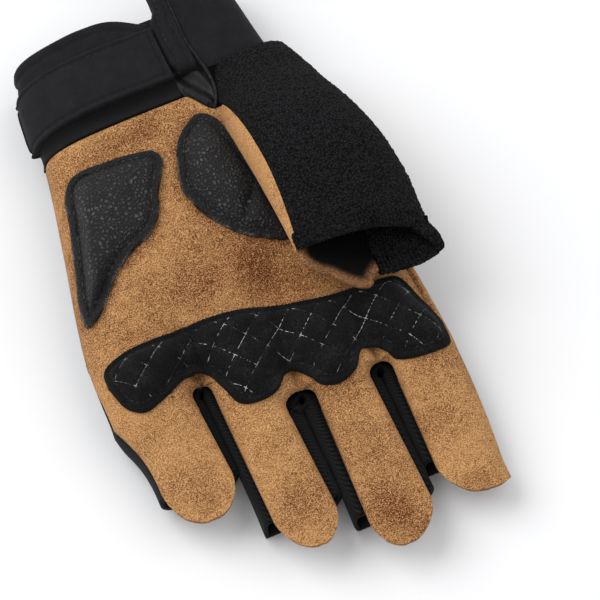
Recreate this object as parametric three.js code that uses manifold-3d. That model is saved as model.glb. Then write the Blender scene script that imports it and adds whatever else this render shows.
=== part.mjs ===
// Short-finger cycling glove for a left hand, lying palm up with its back on the table.
// Millimetres, +Z up. The fingers point to -Y, the thumb lies over the palm on the +X side.
import * as THREE from "three";
import { ParametricGeometry } from "three/addons/geometries/ParametricGeometry.js";
import { mergeGeometries, mergeVertices } from "three/addons/utils/BufferGeometryUtils.js";
import Module from "manifold-3d";

const wasm = await Module();
wasm.setup();

// Driving dimensions
const SUEDE = 1.3; // thickness of the palm leather
const KNIT = 1.2; // thickness of the stretch fabric
const TWILL = 1.1; // thickness of the gussets between the fingers
const TERRY = 1.8; // thickness of the towelling on the thumb
const GAP = 0.35; // clearance between sewn pieces
const SLIVER = 0.02; // height under which a cut piece's flat triangles are merged
const SEAM_DROP = 1.4; // how far a side wall stops below the leather's edge
const WRIST_Y = 66; // where the palm leather meets the cuff
const BACK = { left: 98.5, right: 108 }; // the open end of the cuff, longer on the thumb's side
const VENT = { left: 0.575, right: 0.66, corner: 57.5 }; // the leather's cut-away corner beside the thumb
const SIDE_ROUND = 8; // how far the back takes to curl up to the side seam
const SIDE_BULGE = 2.1; // how far the back stands out beside the little finger
const CROTCH_ROUND = 3; // depth of the rounded root of the gap between two fingers
const TAB_ANGLE = 80; // degrees of arc in each half of a finger's rounded end
const ORIGIN = { x: -10.9, y: 16 }; // middle of the outline in plan

// Sections of the hand and the cuff, from the wrist to the roots of the fingers. crown is the height
// of the palm, seamL and seamR are the heights of the side seams.
const HAND = [
  { y: 110, left: -44.5, right: 20.5, crown: 25.5, seamL: 13, seamR: 13 },
  { y: 88, left: -46, right: 22.5, crown: 26.5, seamL: 13, seamR: 13 },
  { y: 66, left: -48.5, right: 25.5, crown: 26.5, seamL: 13, seamR: 13 },
  { y: 40, left: -53.8, right: 29, crown: 25, seamL: 13, seamR: 13 },
  { y: 12, left: -59.8, right: 31.8, crown: 22.5, seamL: 13, seamR: 11 },
  { y: -8, left: -61.5, right: 34, crown: 20, seamL: 13, seamR: 8 },
  { y: -30, left: -61, right: 34.4, crown: 18.5, seamL: 12.5, seamR: 6 },
];

// Leather finger fronts: the edges at the root and at the start of the rounded tab, how far the
// outer edge bows out between them, the tab's place and reach and how far it leans to one side, where
// the finger tube stops, and the heights of its edges and of its crown at the tip.
const FINGERS = [
  { rootL: -61.4, rootR: -38.4, tipL: -56.9, tipR: -36.9, bow: 1.6, tipX: -46.8, tabY: -37.3, reach: 12, lean: 0, endY: -37.8, seamL: 12, seamR: 11, tipZ: 14 },
  { rootL: -32.8, rootR: -16.4, tipL: -32.6, tipR: -15.4, bow: 0, tipX: -23, tabY: -56.5, reach: 10.8, lean: 0, endY: -55.3, seamL: 11, seamR: 11, tipZ: 14 },
  { rootL: -7.4, rootR: 8.2, tipL: -9.4, tipR: 8.8, bow: 0, tipX: -2, tabY: -66, reach: 10.25, lean: -1.5, endY: -63.4, seamL: 11, seamR: 11, tipZ: 14 },
  { rootL: 15.1, rootR: 34.4, tipL: 13.4, tipR: 32, bow: 0.6, tipX: 26, tabY: -63.5, reach: 7.1, lean: 4, endY: -56.5, seamL: 11, seamR: 5, tipZ: 13 },
];

// Roots of the three gaps between the fingers, and the same row at the two outer edges.
const CROTCHES = [{ x: -34.8, y: -12.3 }, { x: -10.8, y: -24.7 }, { x: 11.9, y: -25.6 }];
const OUTER_ROOT = { left: -15, right: -26 };
const FINGER_ROOT_Z = 18.5; // height of a finger's crown at its root
const ROOT_SEAM_Z = 12.5; // height of the leather in the valleys between the fingers
const BLEND = 24; // how far up the palm the finger crowns fade out
// How far a gusset bellies into the gap, and spreads at its foot, on a finger's right and left side.
const GUSSET = {
  right: { rootBulge: 1.8, tipBulge: 0.9, rootFoot: 1.3, tipFoot: -0.2 },
  left: { rootBulge: 1.7, tipBulge: 1.1, rootFoot: 2.4, tipFoot: 3.3 },
};

// Soft hollows and rises of the palm: centre, radii and height.
const DENTS = [
  { x: -24, y: 60, rx: 20, ry: 8, lift: -1.6 },
  { x: -8, y: 4, rx: 6, ry: 7, lift: -1.5 },
  { x: 16, y: 26, rx: 12, ry: 16, lift: -1.6 },
  { x: -22, y: 14, rx: 9, ry: 9, lift: 1 },
];

// Sections of the thumb from its root to its mouth. roll lowers the outer side; top and end are the
// angles, from the +X side, between which the towelling runs over the thumb; power is how square the
// section is, down to a flat almond at the mouth.
const THUMB = [
  { y: 73, left: 3.4, right: 28.2, middle: 18.3, half: 8.9, roll: 0, top: 178, end: -25, power: 2.5 },
  { y: 62, left: 2.2, right: 30.8, middle: 22.6, half: 9.3, roll: -2, top: 172, end: -50, power: 2.5 },
  { y: 54, left: 0.6, right: 31.8, middle: 27.2, half: 9.2, roll: -4, top: 152, end: -58, power: 2.5 },
  { y: 44, left: 0.2, right: 34.3, middle: 31.2, half: 9.3, roll: -6, top: 147, end: -66, power: 2.5 },
  { y: 30, left: 0.3, right: 37.4, middle: 33.8, half: 9.6, roll: -7.5, top: 149, end: -70, power: 2.4 },
  { y: 18, left: -0.2, right: 39.6, middle: 34, half: 8.6, roll: -12, top: 155, end: -72, power: 2 },
  { y: 6, left: -1, right: 40.2, middle: 33.4, half: 7.4, roll: -16.5, top: 163, end: -72, power: 1.5 },
  { y: -6, left: -1.4, right: 40.5, middle: 33.2, half: 6.7, roll: -18.5, top: 172, end: -72, power: 1.3 },
];
const THUMB_ROOT = { terry: 73, suede: 57.6 };
const MOUTH = { y: 2.3, slant: -0.06, flatX: 32, upper: 0.03, lower: 1.08, x: 20, z: 33.2 }; // its slanting open end
const MOUTH_LIP = { from: 172, to: 288, reach: 8.4 }; // how far the leather runs on past the mouth, between two angles
const MOUTH_HEM = { width: 3.4, over: 0.5, under: 0.3 };
const SEAM_ANGLE = 3; // degrees left open between the towelling and the leather of the thumb

const PAD = { flat: 2.6, edge: 1.4, rings: 5, seats: 5, ribs: 7 }; // a pad's flat stitched border and its thickness there
// The bar under the knuckles, by its two edges from the little finger's end to the index finger's.
const KNUCKLE_BAR = {
  rise: 3.4, steps: 41, edge: 5,
  valleys: [{ x: -33, y: -12, dx: 0.995, dy: -0.1 }, { x: -10, y: -12, dx: 0.995, dy: -0.1 }, { x: 11, y: -12, dx: 1, dy: -0.05 }],
  upper: [
    [-58.7, -5], [-58, -0.2], [-52.1, 2.1], [-40.3, 2.6], [-28.7, 2.2], [-17.3, 0.8], [-4.2, -2.7], [6.9, -4.6],
    [18.7, -5], [26.7, -5.7], [30, -14], [32.8, -22.3],
  ],
  lower: [
    [-58.7, -5], [-56.4, -12.8], [-52.5, -15.7], [-46, -14.1], [-36.8, -9.9], [-32.6, -11.2], [-30.4, -16.8],
    [-28, -23.2], [-23.5, -24.9], [-17.3, -24], [-12.6, -19.8], [-9, -21.6], [-5.2, -27.3], [-1.1, -28.9],
    [4.8, -26.7], [8.7, -21.9], [13.4, -23.6], [16.8, -28.4], [22, -30.3], [31.5, -29.5], [32.8, -22.3],
  ],
};
const HEEL_PAD = {
  rise: 3.8, count: 44, spine: [[-44, 44], [-50.5, 22]], valleys: [],
  outline: [
    [-20.8, 53.7], [-19.2, 50.6], [-20.8, 46.7], [-24.4, 40.8], [-26.4, 35.6], [-30.6, 31], [-37.5, 28], [-44, 23.8],
    [-49.4, 18], [-54, 14.2], [-57, 13.8], [-56.6, 21], [-53.4, 32], [-50, 44], [-47.6, 52.8], [-44, 56.2], [-34, 56.1],
    [-25.5, 55.1],
  ],
};
const THENAR_PAD = {
  rise: 3.6, count: 48, spine: [[-8.5, 45], [-2.5, 24]], valleys: [{ x: -2.4, y: 28.6, dx: 0.79, dy: -0.61 }],
  outline: [
    [-4.6, 59.2], [-9.2, 57.4], [-13.2, 53.6], [-16.2, 46.8], [-17.9, 39.8], [-17, 34.6], [-14.6, 29.1], [-9.3, 22],
    [-5.4, 18.9], [-2, 17.1], [1.8, 15.1], [4.6, 15.3], [5.4, 18.8], [4.6, 28], [3.4, 40], [1, 50], [-1.4, 57],
  ],
};
const STRAP = { thick: 1.9, outline: [[-6.5, 90], [-62, 90], [-62, 71.6], [-6.5, 71.6]] };
const CUFF_PALM = [
  [-6.5, 92], [-8, 93.6], [-11, 96], [-15.5, 97.8], [-24, 98.4], [-34, 98], [-62, 97.4], [-62, 66.7], [-7, 66.7], [-6.5, 67.6],
];
const CUFF_SIDE = [
  [2.9, 109], [2.9, 106], [2.6, 91], [2.5, 84], [2.9, 79], [4.4, 73.4], [40, 73.4], [40, 109],
];
const VENT_HEM = {
  proud: 2.7,
  outline: [
    [-3.2, 109], [-3.2, 99], [-3.5, 95], [-5.8, 90.8], [-6.2, 86], [-6.2, 79.6], [-5.8, 75.6], [-4.8, 74.1],
    [-1, 73.8], [0.4, 74.6], [0.6, 79.5], [0.4, 84.5], [0.6, 91], [0.8, 109],
  ],
};
const VENT_GUSSET = {
  sunk: 0.9, outline: [[-6.4, 73.2], [-6.4, 68.2], [0.4, 60.4], [1.2, 61], [1.6, 68], [0.4, 72.3], [-4.8, 73.1]],
};
const VENT_PIPING = {
  radius: 0.6, lift: 0.3,
  path: [[1.9, 107.6], [1.8, 98], [1.5, 90], [1.3, 84], [1.6, 79.4], [2.4, 75.2], [3.1, 70], [2.9, 65], [1.7, 61.4], [0.2, 59.2]],
};
const GUSSET_PIPING = { radius: 0.65, lift: 0, path: [[-5.3, 68.6], [-4.7, 67], [-3.2, 65], [-0.6, 61.2]] };

const { clamp, degToRad, lerp, smoothstep } = THREE.MathUtils;

// Shared shapes

// A row of a table at y, with every column interpolated by a smooth curve through the rows.
function rowAt(table, y) {
  let i = 0;
  while (i < table.length - 2 && y < table[i + 1].y) i += 1;
  const [a, b] = [table[i], table[i + 1]];
  const [before, after] = [table[Math.max(i - 1, 0)], table[Math.min(i + 2, table.length - 1)]];
  const span = b.y - a.y;
  const t = clamp((y - a.y) / span, 0, 1);
  const row = {};
  for (const key of Object.keys(a)) {
    const startSlope = ((b[key] - before[key]) / (b.y - before.y)) * span;
    const endSlope = ((after[key] - a[key]) / (after.y - a.y)) * span;
    row[key] =
      (2 * t ** 3 - 3 * t ** 2 + 1) * a[key] + (t ** 3 - 2 * t ** 2 + t) * startSlope +
      (3 * t ** 2 - 2 * t ** 3) * b[key] + (t ** 3 - t ** 2) * endSlope;
  }
  return row;
}

// Height of an arch over a share u of its width, between two seams and a crown.
function arch(u, seamL, crown, seamR, power) {
  const seam = u < 0.5 ? seamL : seamR;
  const rise = (1 - Math.abs(2 * clamp(u, 0, 1) - 1) ** power) ** (1 / power);
  return seam + (crown - seam) * rise;
}

// Height in plan of the row of finger roots at x.
function rootRow(x) {
  const stops = [
    { x: FINGERS[0].rootL, y: OUTER_ROOT.left }, ...CROTCHES, { x: FINGERS[3].rootR, y: OUTER_ROOT.right },
  ];
  let i = 0;
  while (i < stops.length - 2 && x > stops[i + 1].x) i += 1;
  return lerp(stops[i].y, stops[i + 1].y, clamp((x - stops[i].x) / (stops[i + 1].x - stops[i].x), 0, 1));
}

// Left or right edge of a finger at y. across moves it into the finger and up moves the crotch.
function fingerEdge(j, side, y, { across = 0, up = 0 } = {}) {
  const finger = FINGERS[j];
  const isLeft = side === "left";
  const crotch = CROTCHES[isLeft ? j - 1 : j];
  const rootY = crotch ? crotch.y : OUTER_ROOT[side];
  const share = clamp((rootY - y) / (rootY - finger.tabY), 0, 1);
  const edge = isLeft ? lerp(finger.rootL, finger.tipL, share) : lerp(finger.rootR, finger.tipR, share);
  if (!crotch) return edge + finger.bow * Math.sin(Math.PI * share);
  const depth = clamp((crotch.y + up - y) / (CROTCH_ROUND + up), 0, 1);
  const into = typeof across === "function" ? across(share) : across;
  return lerp(crotch.x, edge + (isLeft ? into : -into), Math.sqrt(1 - (1 - depth) ** 2));
}

// Outer edge of the glove at y, along the hand and its little or index finger.
function outerEdge(side, y) {
  return y > OUTER_ROOT[side] ? rowAt(HAND, y)[side] : fingerEdge(side === "left" ? 0 : 3, side, y);
}

// Height of a finger's leather at x and y.
function fingerZ(j, x, y) {
  const finger = FINGERS[j];
  const left = fingerEdge(j, "left", Math.max(y, finger.tabY));
  const right = fingerEdge(j, "right", Math.max(y, finger.tabY));
  const along = clamp((y - finger.tabY) / (rootRow(finger.tipX) - finger.tabY), 0, 1);
  const root = rowAt(HAND, OUTER_ROOT.right);
  const seamL = lerp(finger.seamL, j === 0 ? root.seamL : ROOT_SEAM_Z, along);
  const seamR = lerp(finger.seamR, j === 3 ? root.seamR : ROOT_SEAM_Z, along);
  const crown = lerp(finger.tipZ, FINGER_ROOT_Z, along) - 2 * smoothstep(finger.tabY - y, 0, finger.reach);
  return arch((x - left) / (right - left), seamL, Math.max(crown, seamL + 0.5), seamR, 2.8);
}

// Height of the palm leather, and of the cuff in line with it. j names the finger below the crotches.
function palmZ(x, y, j) {
  const hand = rowAt(HAND, y);
  const u = (x - hand.left) / (hand.right - hand.left);
  const rootY = rootRow(x);
  const fanned = lerp(FINGERS[0].rootL, FINGERS[3].rootR, u);
  const rootX = lerp(x, fanned, smoothstep(y - rootY, 0, 12));
  const nearest = j ?? CROTCHES.filter((crotch) => rootX > crotch.x).length;
  const share = smoothstep(rootY + BLEND - y, 0, BLEND);
  if (share === 1) return fingerZ(nearest, x, y);
  const body = arch(u, hand.seamL, hand.crown, hand.seamR, 3);
  const seam = clamp(6 * Math.min(u, 1 - u), 0, 1);
  const lift = DENTS.reduce((sum, d) => sum + d.lift * Math.exp(-(((x - d.x) / d.rx) ** 2) - ((y - d.y) / d.ry) ** 2), 0);
  return lerp(body + seam * lift, fingerZ(nearest, rootX, Math.min(y, rootRow(rootX))), share);
}

// An open sheet from patches, each a function of u and v with its own steps. Its front faces up
// when u runs along +X and v along -Y.
function sheet(patches) {
  const parts = patches.map(({ point, across, along }) => {
    const made = new ParametricGeometry((u, v, target) => target.copy(point(1 - u, v)), across, along);
    made.deleteAttribute("normal");
    made.deleteAttribute("uv");
    return made;
  });
  const merged = mergeVertices(mergeGeometries(parts), 1e-3);
  merged.computeVertexNormals();
  return merged;
}

// A closed body between an open sheet moved by two functions of point, normal and vertex number.
function between(open, lower, upper) {
  const { position, normal } = open.attributes;
  const corners = Array.from(open.index.array);
  const triangles = [];
  for (let i = 0; i < corners.length; i += 3) {
    const [a, b, c] = corners.slice(i, i + 3);
    if (a !== b && b !== c && c !== a) triangles.push([a, b, c]);
  }
  const edges = new Map();
  for (const [a, b, c] of triangles)
    for (const [from, to] of [[a, b], [b, c], [c, a]]) edges.set(`${from},${to}`, [from, to]);
  const rim = [...edges.values()].filter(([from, to]) => !edges.has(`${to},${from}`));
  const count = position.count;
  const points = new Float32Array(count * 6);
  for (let i = 0; i < count; i += 1) {
    const point = new THREE.Vector3().fromBufferAttribute(position, i);
    const front = new THREE.Vector3().fromBufferAttribute(normal, i);
    upper(point, front, i).toArray(points, i * 3);
    lower(point, front, i).toArray(points, (count + i) * 3);
  }
  const faces = triangles.flatMap(([a, b, c]) => [a, b, c, count + a, count + c, count + b]);
  for (const [from, to] of rim) faces.push(to, from, count + from, to, count + from, count + to);
  return new THREE.BufferGeometry().setAttribute("position", new THREE.BufferAttribute(points, 3)).setIndex(faces);
}

const moved = (offset) => (point, front) => point.clone().addScaledVector(front, offset);

// A wall of cloth or leather between two offsets from an open sheet.
const wall = (open, inner, outer) => solid(between(open, moved(inner), moved(outer)));

// Everything under an open sheet that is moved by an offset, down past the table.
const under = (open, offset) => solid(between(open, (p) => new THREE.Vector3(p.x, p.y, -20), offset));

// Joining and cutting

function solid(geometry) {
  const bare = geometry.clone();
  for (const name of Object.keys(bare.attributes)) if (name !== "position") bare.deleteAttribute(name);
  const merged = mergeVertices(bare, 1e-3);
  const mesh = new wasm.Mesh({
    numProp: 3, vertProperties: merged.attributes.position.array, triVerts: new Uint32Array(merged.index.array),
  });
  return new wasm.Manifold(mesh);
}

// A body less others, without the slivers that a cut leaves.
const trimmed = (body, ...others) => others.reduce((left, other) => left.subtract(other), body).simplify(SLIVER);

// The largest body of a manifold, as a geometry.
function largest(manifold) {
  const bodies = manifold.decompose();
  bodies.sort((a, b) => b.volume() - a.volume());
  const { vertProperties, triVerts } = bodies[0].getMesh();
  return new THREE.BufferGeometry()
    .setAttribute("position", new THREE.BufferAttribute(new Float32Array(vertProperties), 3))
    .setIndex(new THREE.BufferAttribute(new Uint32Array(triVerts), 1));
}

// An upright prism through the whole glove, from an outline in plan.
function prism(outline) {
  const shape = new THREE.Shape(outline.map(([x, y]) => new THREE.Vector2(x, y)));
  return solid(new THREE.ExtrudeGeometry(shape, { depth: 90, bevelEnabled: false }).translate(0, 0, -15));
}

// A closed smooth outline through a few points.
function smooth(points, steps) {
  const curve = new THREE.CatmullRomCurve3(points.map(([x, y]) => new THREE.Vector3(x, y, 0)), true, "centripetal");
  return curve.getPoints(steps).slice(0, -1).map((p) => [p.x, p.y]);
}

// The point of a straight line that lies nearest to a point in plan, and its share of the line.
function nearestOn([[ax, ay], [bx, by]], x, y) {
  const share = clamp(((x - ax) * (bx - ax) + (y - ay) * (by - ay)) / ((bx - ax) ** 2 + (by - ay) ** 2), 0, 1);
  const [px, py] = [lerp(ax, bx, share), lerp(ay, by, share)];
  return { x: px, y: py, share, away: Math.hypot(x - px, y - py) };
}

// Hand and fingers

// Crowds the steps of a share towards both ends, where an arch falls steeply.
const crowd = (u) => lerp(u, 0.5 - 0.5 * Math.cos(Math.PI * u), 0.8);

// Plan of the hand above finger j, from the wrist (v 0) to the row of finger roots (v 1). round
// stops it short of the outer edges and up keeps it clear of the crotches.
function handPlan(j, u, v, wristY, up = 0, round = 0) {
  const xs = [FINGERS[0].rootL + round, ...CROTCHES.map((crotch) => crotch.x), FINGERS[3].rootR - round];
  const ys = [OUTER_ROOT.left, ...CROTCHES.map((crotch) => crotch.y + up), OUTER_ROOT.right];
  const rootX = lerp(xs[j], xs[j + 1], u);
  const share = (rootX - xs[0]) / (xs[4] - xs[0]);
  const y = lerp(wristY(share), lerp(ys[j], ys[j + 1], u), v);
  const [left, right] = [outerEdge("left", y) + round, outerEdge("right", y) - round];
  return { x: lerp(lerp(left, right, share), rootX, smoothstep(v, 0.6, 1)), y };
}

// Plan of finger j from its root (v 0) to endY (v 1), with the steps crowded towards the root. lean
// makes it end earlier on its left side than on its right.
function fingerPlan(j, u, v, endY, { shift = { left: {}, right: {} }, round = 0, lean = 0 } = {}) {
  const rootY = (crotch, side) => (crotch ? crotch.y + (shift[side].up ?? 0) : OUTER_ROOT[side]);
  const yL = lerp(rootY(CROTCHES[j - 1], "left"), endY + lean, v ** 1.7);
  const yR = lerp(rootY(CROTCHES[j], "right"), endY - lean, v ** 1.7);
  const xL = fingerEdge(j, "left", yL, shift.left) + (j === 0 ? round : 0);
  const xR = fingerEdge(j, "right", yR, shift.right) - (j === 3 ? round : 0);
  return { x: lerp(xL, xR, u), y: lerp(yL, yR, u) };
}

// The palm as an open sheet, with four finger fronts that end in rounded tabs.
function palmSheet() {
  const wristY = (share) => WRIST_Y - (WRIST_Y - VENT.corner) * smoothstep(share, VENT.left, VENT.right);
  const lifted = ({ x, y }, j) => new THREE.Vector3(x, y, palmZ(x, y, j));
  const tab = (finger, j, u, v) => {
    const angle = degToRad(TAB_ANGLE) * v;
    const left = lerp(finger.tipX, fingerEdge(j, "left", finger.tabY + finger.lean), Math.cos(angle));
    const right = lerp(finger.tipX, fingerEdge(j, "right", finger.tabY - finger.lean), Math.cos(angle));
    const start = finger.tabY + finger.lean * (1 - 2 * u);
    return { x: lerp(left, right, u), y: lerp(start, finger.tabY - finger.reach, Math.sin(angle)) };
  };
  return sheet(FINGERS.flatMap((finger, j) => [
    { point: (u, v) => lifted(handPlan(j, crowd(u), v, wristY)), across: 6, along: 14 },
    { point: (u, v) => lifted(fingerPlan(j, crowd(u), v, finger.tabY, finger), j), across: 6, along: 7 },
    { point: (u, v) => lifted(tab(finger, j, crowd(u), v), j), across: 6, along: 5 },
  ]));
}

// The back of the hand and fingers, flat on the table and curled up at both sides. It stops short of
// the gussets' feet.
function handBack() {
  const clear = TWILL + 2 * GAP;
  const up = clear - GUSSET.right.rootFoot;
  const beside = ({ rootFoot, tipFoot }) => ({ across: (share) => clear - lerp(rootFoot, tipFoot, share), up });
  const shift = { left: beside(GUSSET.left), right: beside(GUSSET.right) };
  const topY = (share) => lerp(BACK.left, BACK.right, smoothstep(share, 0, 0.6));
  const curl = (side, k, y) => {
    const angle = (Math.PI / 2) * k;
    const edge = outerEdge(side, y);
    const j = side === "left" ? 0 : 3;
    const top = palmZ(edge, y, y > OUTER_ROOT[side] ? undefined : j) - SEAM_DROP;
    const inward = SIDE_ROUND * (1 - Math.cos(angle)) * (j === 0 ? 1 : -1);
    const bulge = j === 0 ? SIDE_BULGE * smoothstep(-y, 10, 20) * Math.sin(Math.PI * k) : 0;
    return new THREE.Vector3(edge + inward - bulge, y, top * (1 - Math.sin(angle)));
  };
  const flat = ({ x, y }) => new THREE.Vector3(x, y, 0);
  const handY = (side, v) => lerp(topY(side === "left" ? 0 : 1), OUTER_ROOT[side], v);
  const fingerY = (side, v) => lerp(OUTER_ROOT[side], FINGERS[side === "left" ? 0 : 3].endY, v ** 1.7);
  const patches = FINGERS.flatMap((finger, j) => [
    { point: (u, v) => flat(handPlan(j, u, v, topY, up, SIDE_ROUND)), across: 2, along: 9 },
    { point: (u, v) => flat(fingerPlan(j, u, v, finger.endY, { shift, round: SIDE_ROUND })), across: 2, along: 6 },
  ]);
  for (const toY of [handY, fingerY]) {
    const along = toY === handY ? 9 : 6;
    patches.push({ point: (u, v) => curl("left", u, toY("left", v)), across: 4, along });
    patches.push({ point: (u, v) => curl("right", 1 - u, toY("right", v)), across: 4, along });
  }
  return wall(sheet(patches), 0, KNIT);
}

// The gusset between finger j and the next: a wall in a U round their crotch.
function fourchette(j) {
  const crotch = CROTCHES[j];
  const path = (s) => {
    const k = s < 0.5 ? j : j + 1;
    const y = lerp(crotch.y, FINGERS[k].endY, Math.abs(2 * s - 1) ** 1.7);
    return new THREE.Vector2(fingerEdge(k, s < 0.5 ? "right" : "left", y), y);
  };
  const point = (s, w) => {
    const here = path(s);
    const ahead = path(Math.min(s + 0.01, 1)).sub(path(Math.max(s - 0.01, 0))).normalize();
    const k = s < 0.5 ? j : j + 1;
    const top = palmZ(here.x, Math.max(here.y, FINGERS[k].tabY), k) - SEAM_DROP;
    const share = clamp((crotch.y - here.y) / (crotch.y - FINGERS[k].tabY), 0, 1);
    const turn = smoothstep(s, 0.46, 0.56);
    const mixed = (tip, root) => lerp(
      lerp(GUSSET.right[root], GUSSET.right[tip], share), lerp(GUSSET.left[root], GUSSET.left[tip], share), turn,
    );
    const out = mixed("tipBulge", "rootBulge") * Math.sin(Math.PI * w) + mixed("tipFoot", "rootFoot") * w - 0.15;
    return new THREE.Vector3(here.x + ahead.y * out, here.y - ahead.x * out, lerp(top, 0.2, w));
  };
  return wall(sheet([{ point, across: 22, along: 4 }]), -TWILL, 0);
}

// Thumb

// A point of the thumb's surface at y and an angle from the +X side.
function thumbPoint(y, angle, grow = 0) {
  const row = rowAt(THUMB, y);
  const bend = (value) => Math.sign(value) * Math.abs(value) ** (2 / row.power);
  const across = ((row.right - row.left) / 2 + grow) * bend(Math.cos(angle));
  const high = (row.half + grow) * bend(Math.sin(angle));
  const roll = degToRad(row.roll);
  return new THREE.Vector3(
    (row.left + row.right) / 2 + across * Math.cos(roll) - high * Math.sin(roll), y,
    row.middle + across * Math.sin(roll) + high * Math.cos(roll),
  );
}

// Where the slanting mouth cuts the thumb's surface at an angle.
function mouthY(angle) {
  const { x, z } = thumbPoint(0, angle);
  const rake = z > MOUTH.z ? MOUTH.upper : MOUTH.lower;
  return MOUTH.y + MOUTH.slant * (Math.min(x, MOUTH.flatX) - MOUTH.x) + rake * (z - MOUTH.z);
}

// Where the thumb's leather ends at an angle, on a lip that runs on past the mouth.
function lipY(angle) {
  const share = clamp((((angle * 180) / Math.PI) - MOUTH_LIP.from) / (MOUTH_LIP.to - MOUTH_LIP.from), 0, 1);
  return mouthY(angle) - MOUTH_LIP.reach * Math.sin(Math.PI * share);
}

// A sheet over the thumb between two angle columns, and between two distances along it that may
// depend on the angle. The seams' angles depend on the distance in turn, so a few passes settle both.
function thumbSheet(fromAngle, toAngle, startY, endY, across, along) {
  const point = (u, v) => {
    let [y, angle] = [lerp(THUMB_ROOT.terry, 0, v), 0];
    for (let pass = 0; pass < 5; pass += 1) {
      const row = rowAt(THUMB, y);
      angle = degToRad(lerp(fromAngle(row), toAngle(row), u));
      y = lerp(startY(angle), endY(angle), v);
    }
    return thumbPoint(y, angle);
  };
  return sheet([{ point, across, along }]);
}

// The thumb filled in, and grown all round by a clearance.
function thumbBlock(grow) {
  const [rings, steps] = [15, 32];
  const points = [];
  const faces = [];
  for (let i = 0; i <= rings; i += 1)
    for (let k = 0; k < steps; k += 1) {
      const angle = (2 * Math.PI * k) / steps;
      points.push(...thumbPoint(lerp(THUMB_ROOT.terry, mouthY(angle) - 0.5, i / rings), angle, grow).toArray());
    }
  for (let i = 0; i < rings; i += 1)
    for (let k = 0; k < steps; k += 1) {
      const [a, b] = [i * steps + k, i * steps + ((k + 1) % steps)];
      faces.push(a, b, a + steps, b, b + steps, a + steps);
    }
  for (let k = 1; k < steps - 1; k += 1) {
    const last = rings * steps;
    faces.push(0, k + 1, k, last, last + k, last + k + 1);
  }
  return solid(new THREE.BufferGeometry()
    .setAttribute("position", new THREE.BufferAttribute(new Float32Array(points), 3)).setIndex(faces));
}

// Pads, cuff and trim

// How much of a pad's crown is left at a point, between the seams that pinch it.
function pinch(valleys, x, y) {
  const across = (line) => (x - line.x) * line.dx + (y - line.y) * line.dy;
  return valleys.reduce((left, line) => left * (1 - 0.75 * Math.exp(-((across(line) / 2.8) ** 2))), 1);
}

// Where a pad lies: on the leather, but bridging its narrow valleys.
const bridged = (x, y) => Math.max(palmZ(x, y), (palmZ(x - 3, y) + palmZ(x + 3, y)) / 2);

// A padded patch raised over a sheet. Its underside follows the ground that is cut away.
function patch(open, lifts, ground, thumb) {
  const slope = (ahead, behind) => (bridged(...behind) - bridged(...ahead)) / 2;
  const raised = ({ x, y, z }, front, i) => {
    const normal = new THREE.Vector3(slope([x + 1, y], [x - 1, y]), slope([x, y + 1], [x, y - 1]), 1).normalize();
    return normal.multiplyScalar(GAP + PAD.edge).add(new THREE.Vector3(x, y, z + lifts[i]));
  };
  const sunk = ({ x, y, z }) => new THREE.Vector3(x, y, z - 3);
  return trimmed(solid(between(open, sunk, raised)), ground, thumb);
}

// The leather pads: rings from the outline, a flat border and then a crown, that close on a spine.
function leatherPad({ outline, rise, count, spine, valleys }, ground, thumb) {
  const loop = smooth(outline, count);
  if (THREE.ShapeUtils.isClockWise(loop.map(([x, y]) => new THREE.Vector2(x, y)))) loop.reverse();
  const targets = loop.map(([x, y]) => nearestOn(spine, x, y));
  const points = [];
  const lifts = [];
  const add = (x, y, t) => {
    points.push(x, y, bridged(x, y));
    lifts.push(rise * pinch(valleys, x, y) * Math.sin((Math.PI / 2) * t));
  };
  for (let ring = 0; ring < PAD.rings; ring += 1)
    loop.forEach(([x, y], k) => {
      const target = targets[k];
      const t = Math.max(ring - 1, 0) / (PAD.rings - 1);
      const inward = ring === 0 ? 0 : lerp(Math.min(PAD.flat, 0.4 * target.away), target.away, t) / target.away;
      add(lerp(x, target.x, inward), lerp(y, target.y, inward), t);
    });
  for (let i = 0; i <= PAD.seats; i += 1)
    add(lerp(spine[0][0], spine[1][0], i / PAD.seats), lerp(spine[0][1], spine[1][1], i / PAD.seats), 1);
  const faces = [];
  const inner = (PAD.rings - 1) * loop.length;
  const seat = (k) => inner + loop.length + Math.round(targets[k % loop.length].share * PAD.seats);
  for (let k = 0; k < loop.length; k += 1) {
    const next = (k + 1) % loop.length;
    for (let start = 0; start < inner; start += loop.length) {
      const [a, b] = [start + k, start + next];
      faces.push(a, b, b + loop.length, a, b + loop.length, a + loop.length);
    }
    faces.push(inner + k, inner + next, seat(next));
    if (seat(k) !== seat(next)) faces.push(inner + k, seat(next), seat(k));
  }
  const open = new THREE.BufferGeometry()
    .setAttribute("position", new THREE.BufferAttribute(new Float32Array(points), 3)).setIndex(faces);
  open.computeVertexNormals();
  return patch(open, lifts, ground, thumb);
}

// The quilted bar: ribs between its upper and its scalloped lower edge.
function knuckleBar({ upper, lower, rise, steps, edge, valleys }, ground, thumb) {
  const curve = (points) => new THREE.CatmullRomCurve3(points.map(([x, y]) => new THREE.Vector3(x, y, 0)), false, "centripetal");
  const [top, bottom] = [curve(upper), curve(lower)];
  const point = (u, v) => {
    const here = top.getPointAt(u).lerp(bottom.getPointAt(u), v);
    return new THREE.Vector3(here.x, here.y, bridged(here.x, here.y));
  };
  const open = sheet([{ point, across: steps, along: PAD.ribs }]);
  const border = [...top.getSpacedPoints(60), ...bottom.getSpacedPoints(90)];
  const { position } = open.attributes;
  const lifts = Array.from({ length: position.count }, (_, i) => {
    const [x, y] = [position.getX(i), position.getY(i)];
    const away = Math.min(...border.map((p) => Math.hypot(p.x - x, p.y - y)));
    const t = clamp((away - 1.2) / edge, 0, 1);
    return rise * pinch(valleys, x, y) * Math.sin((Math.PI / 2) * t);
  });
  return patch(open, lifts, ground, thumb);
}

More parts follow.
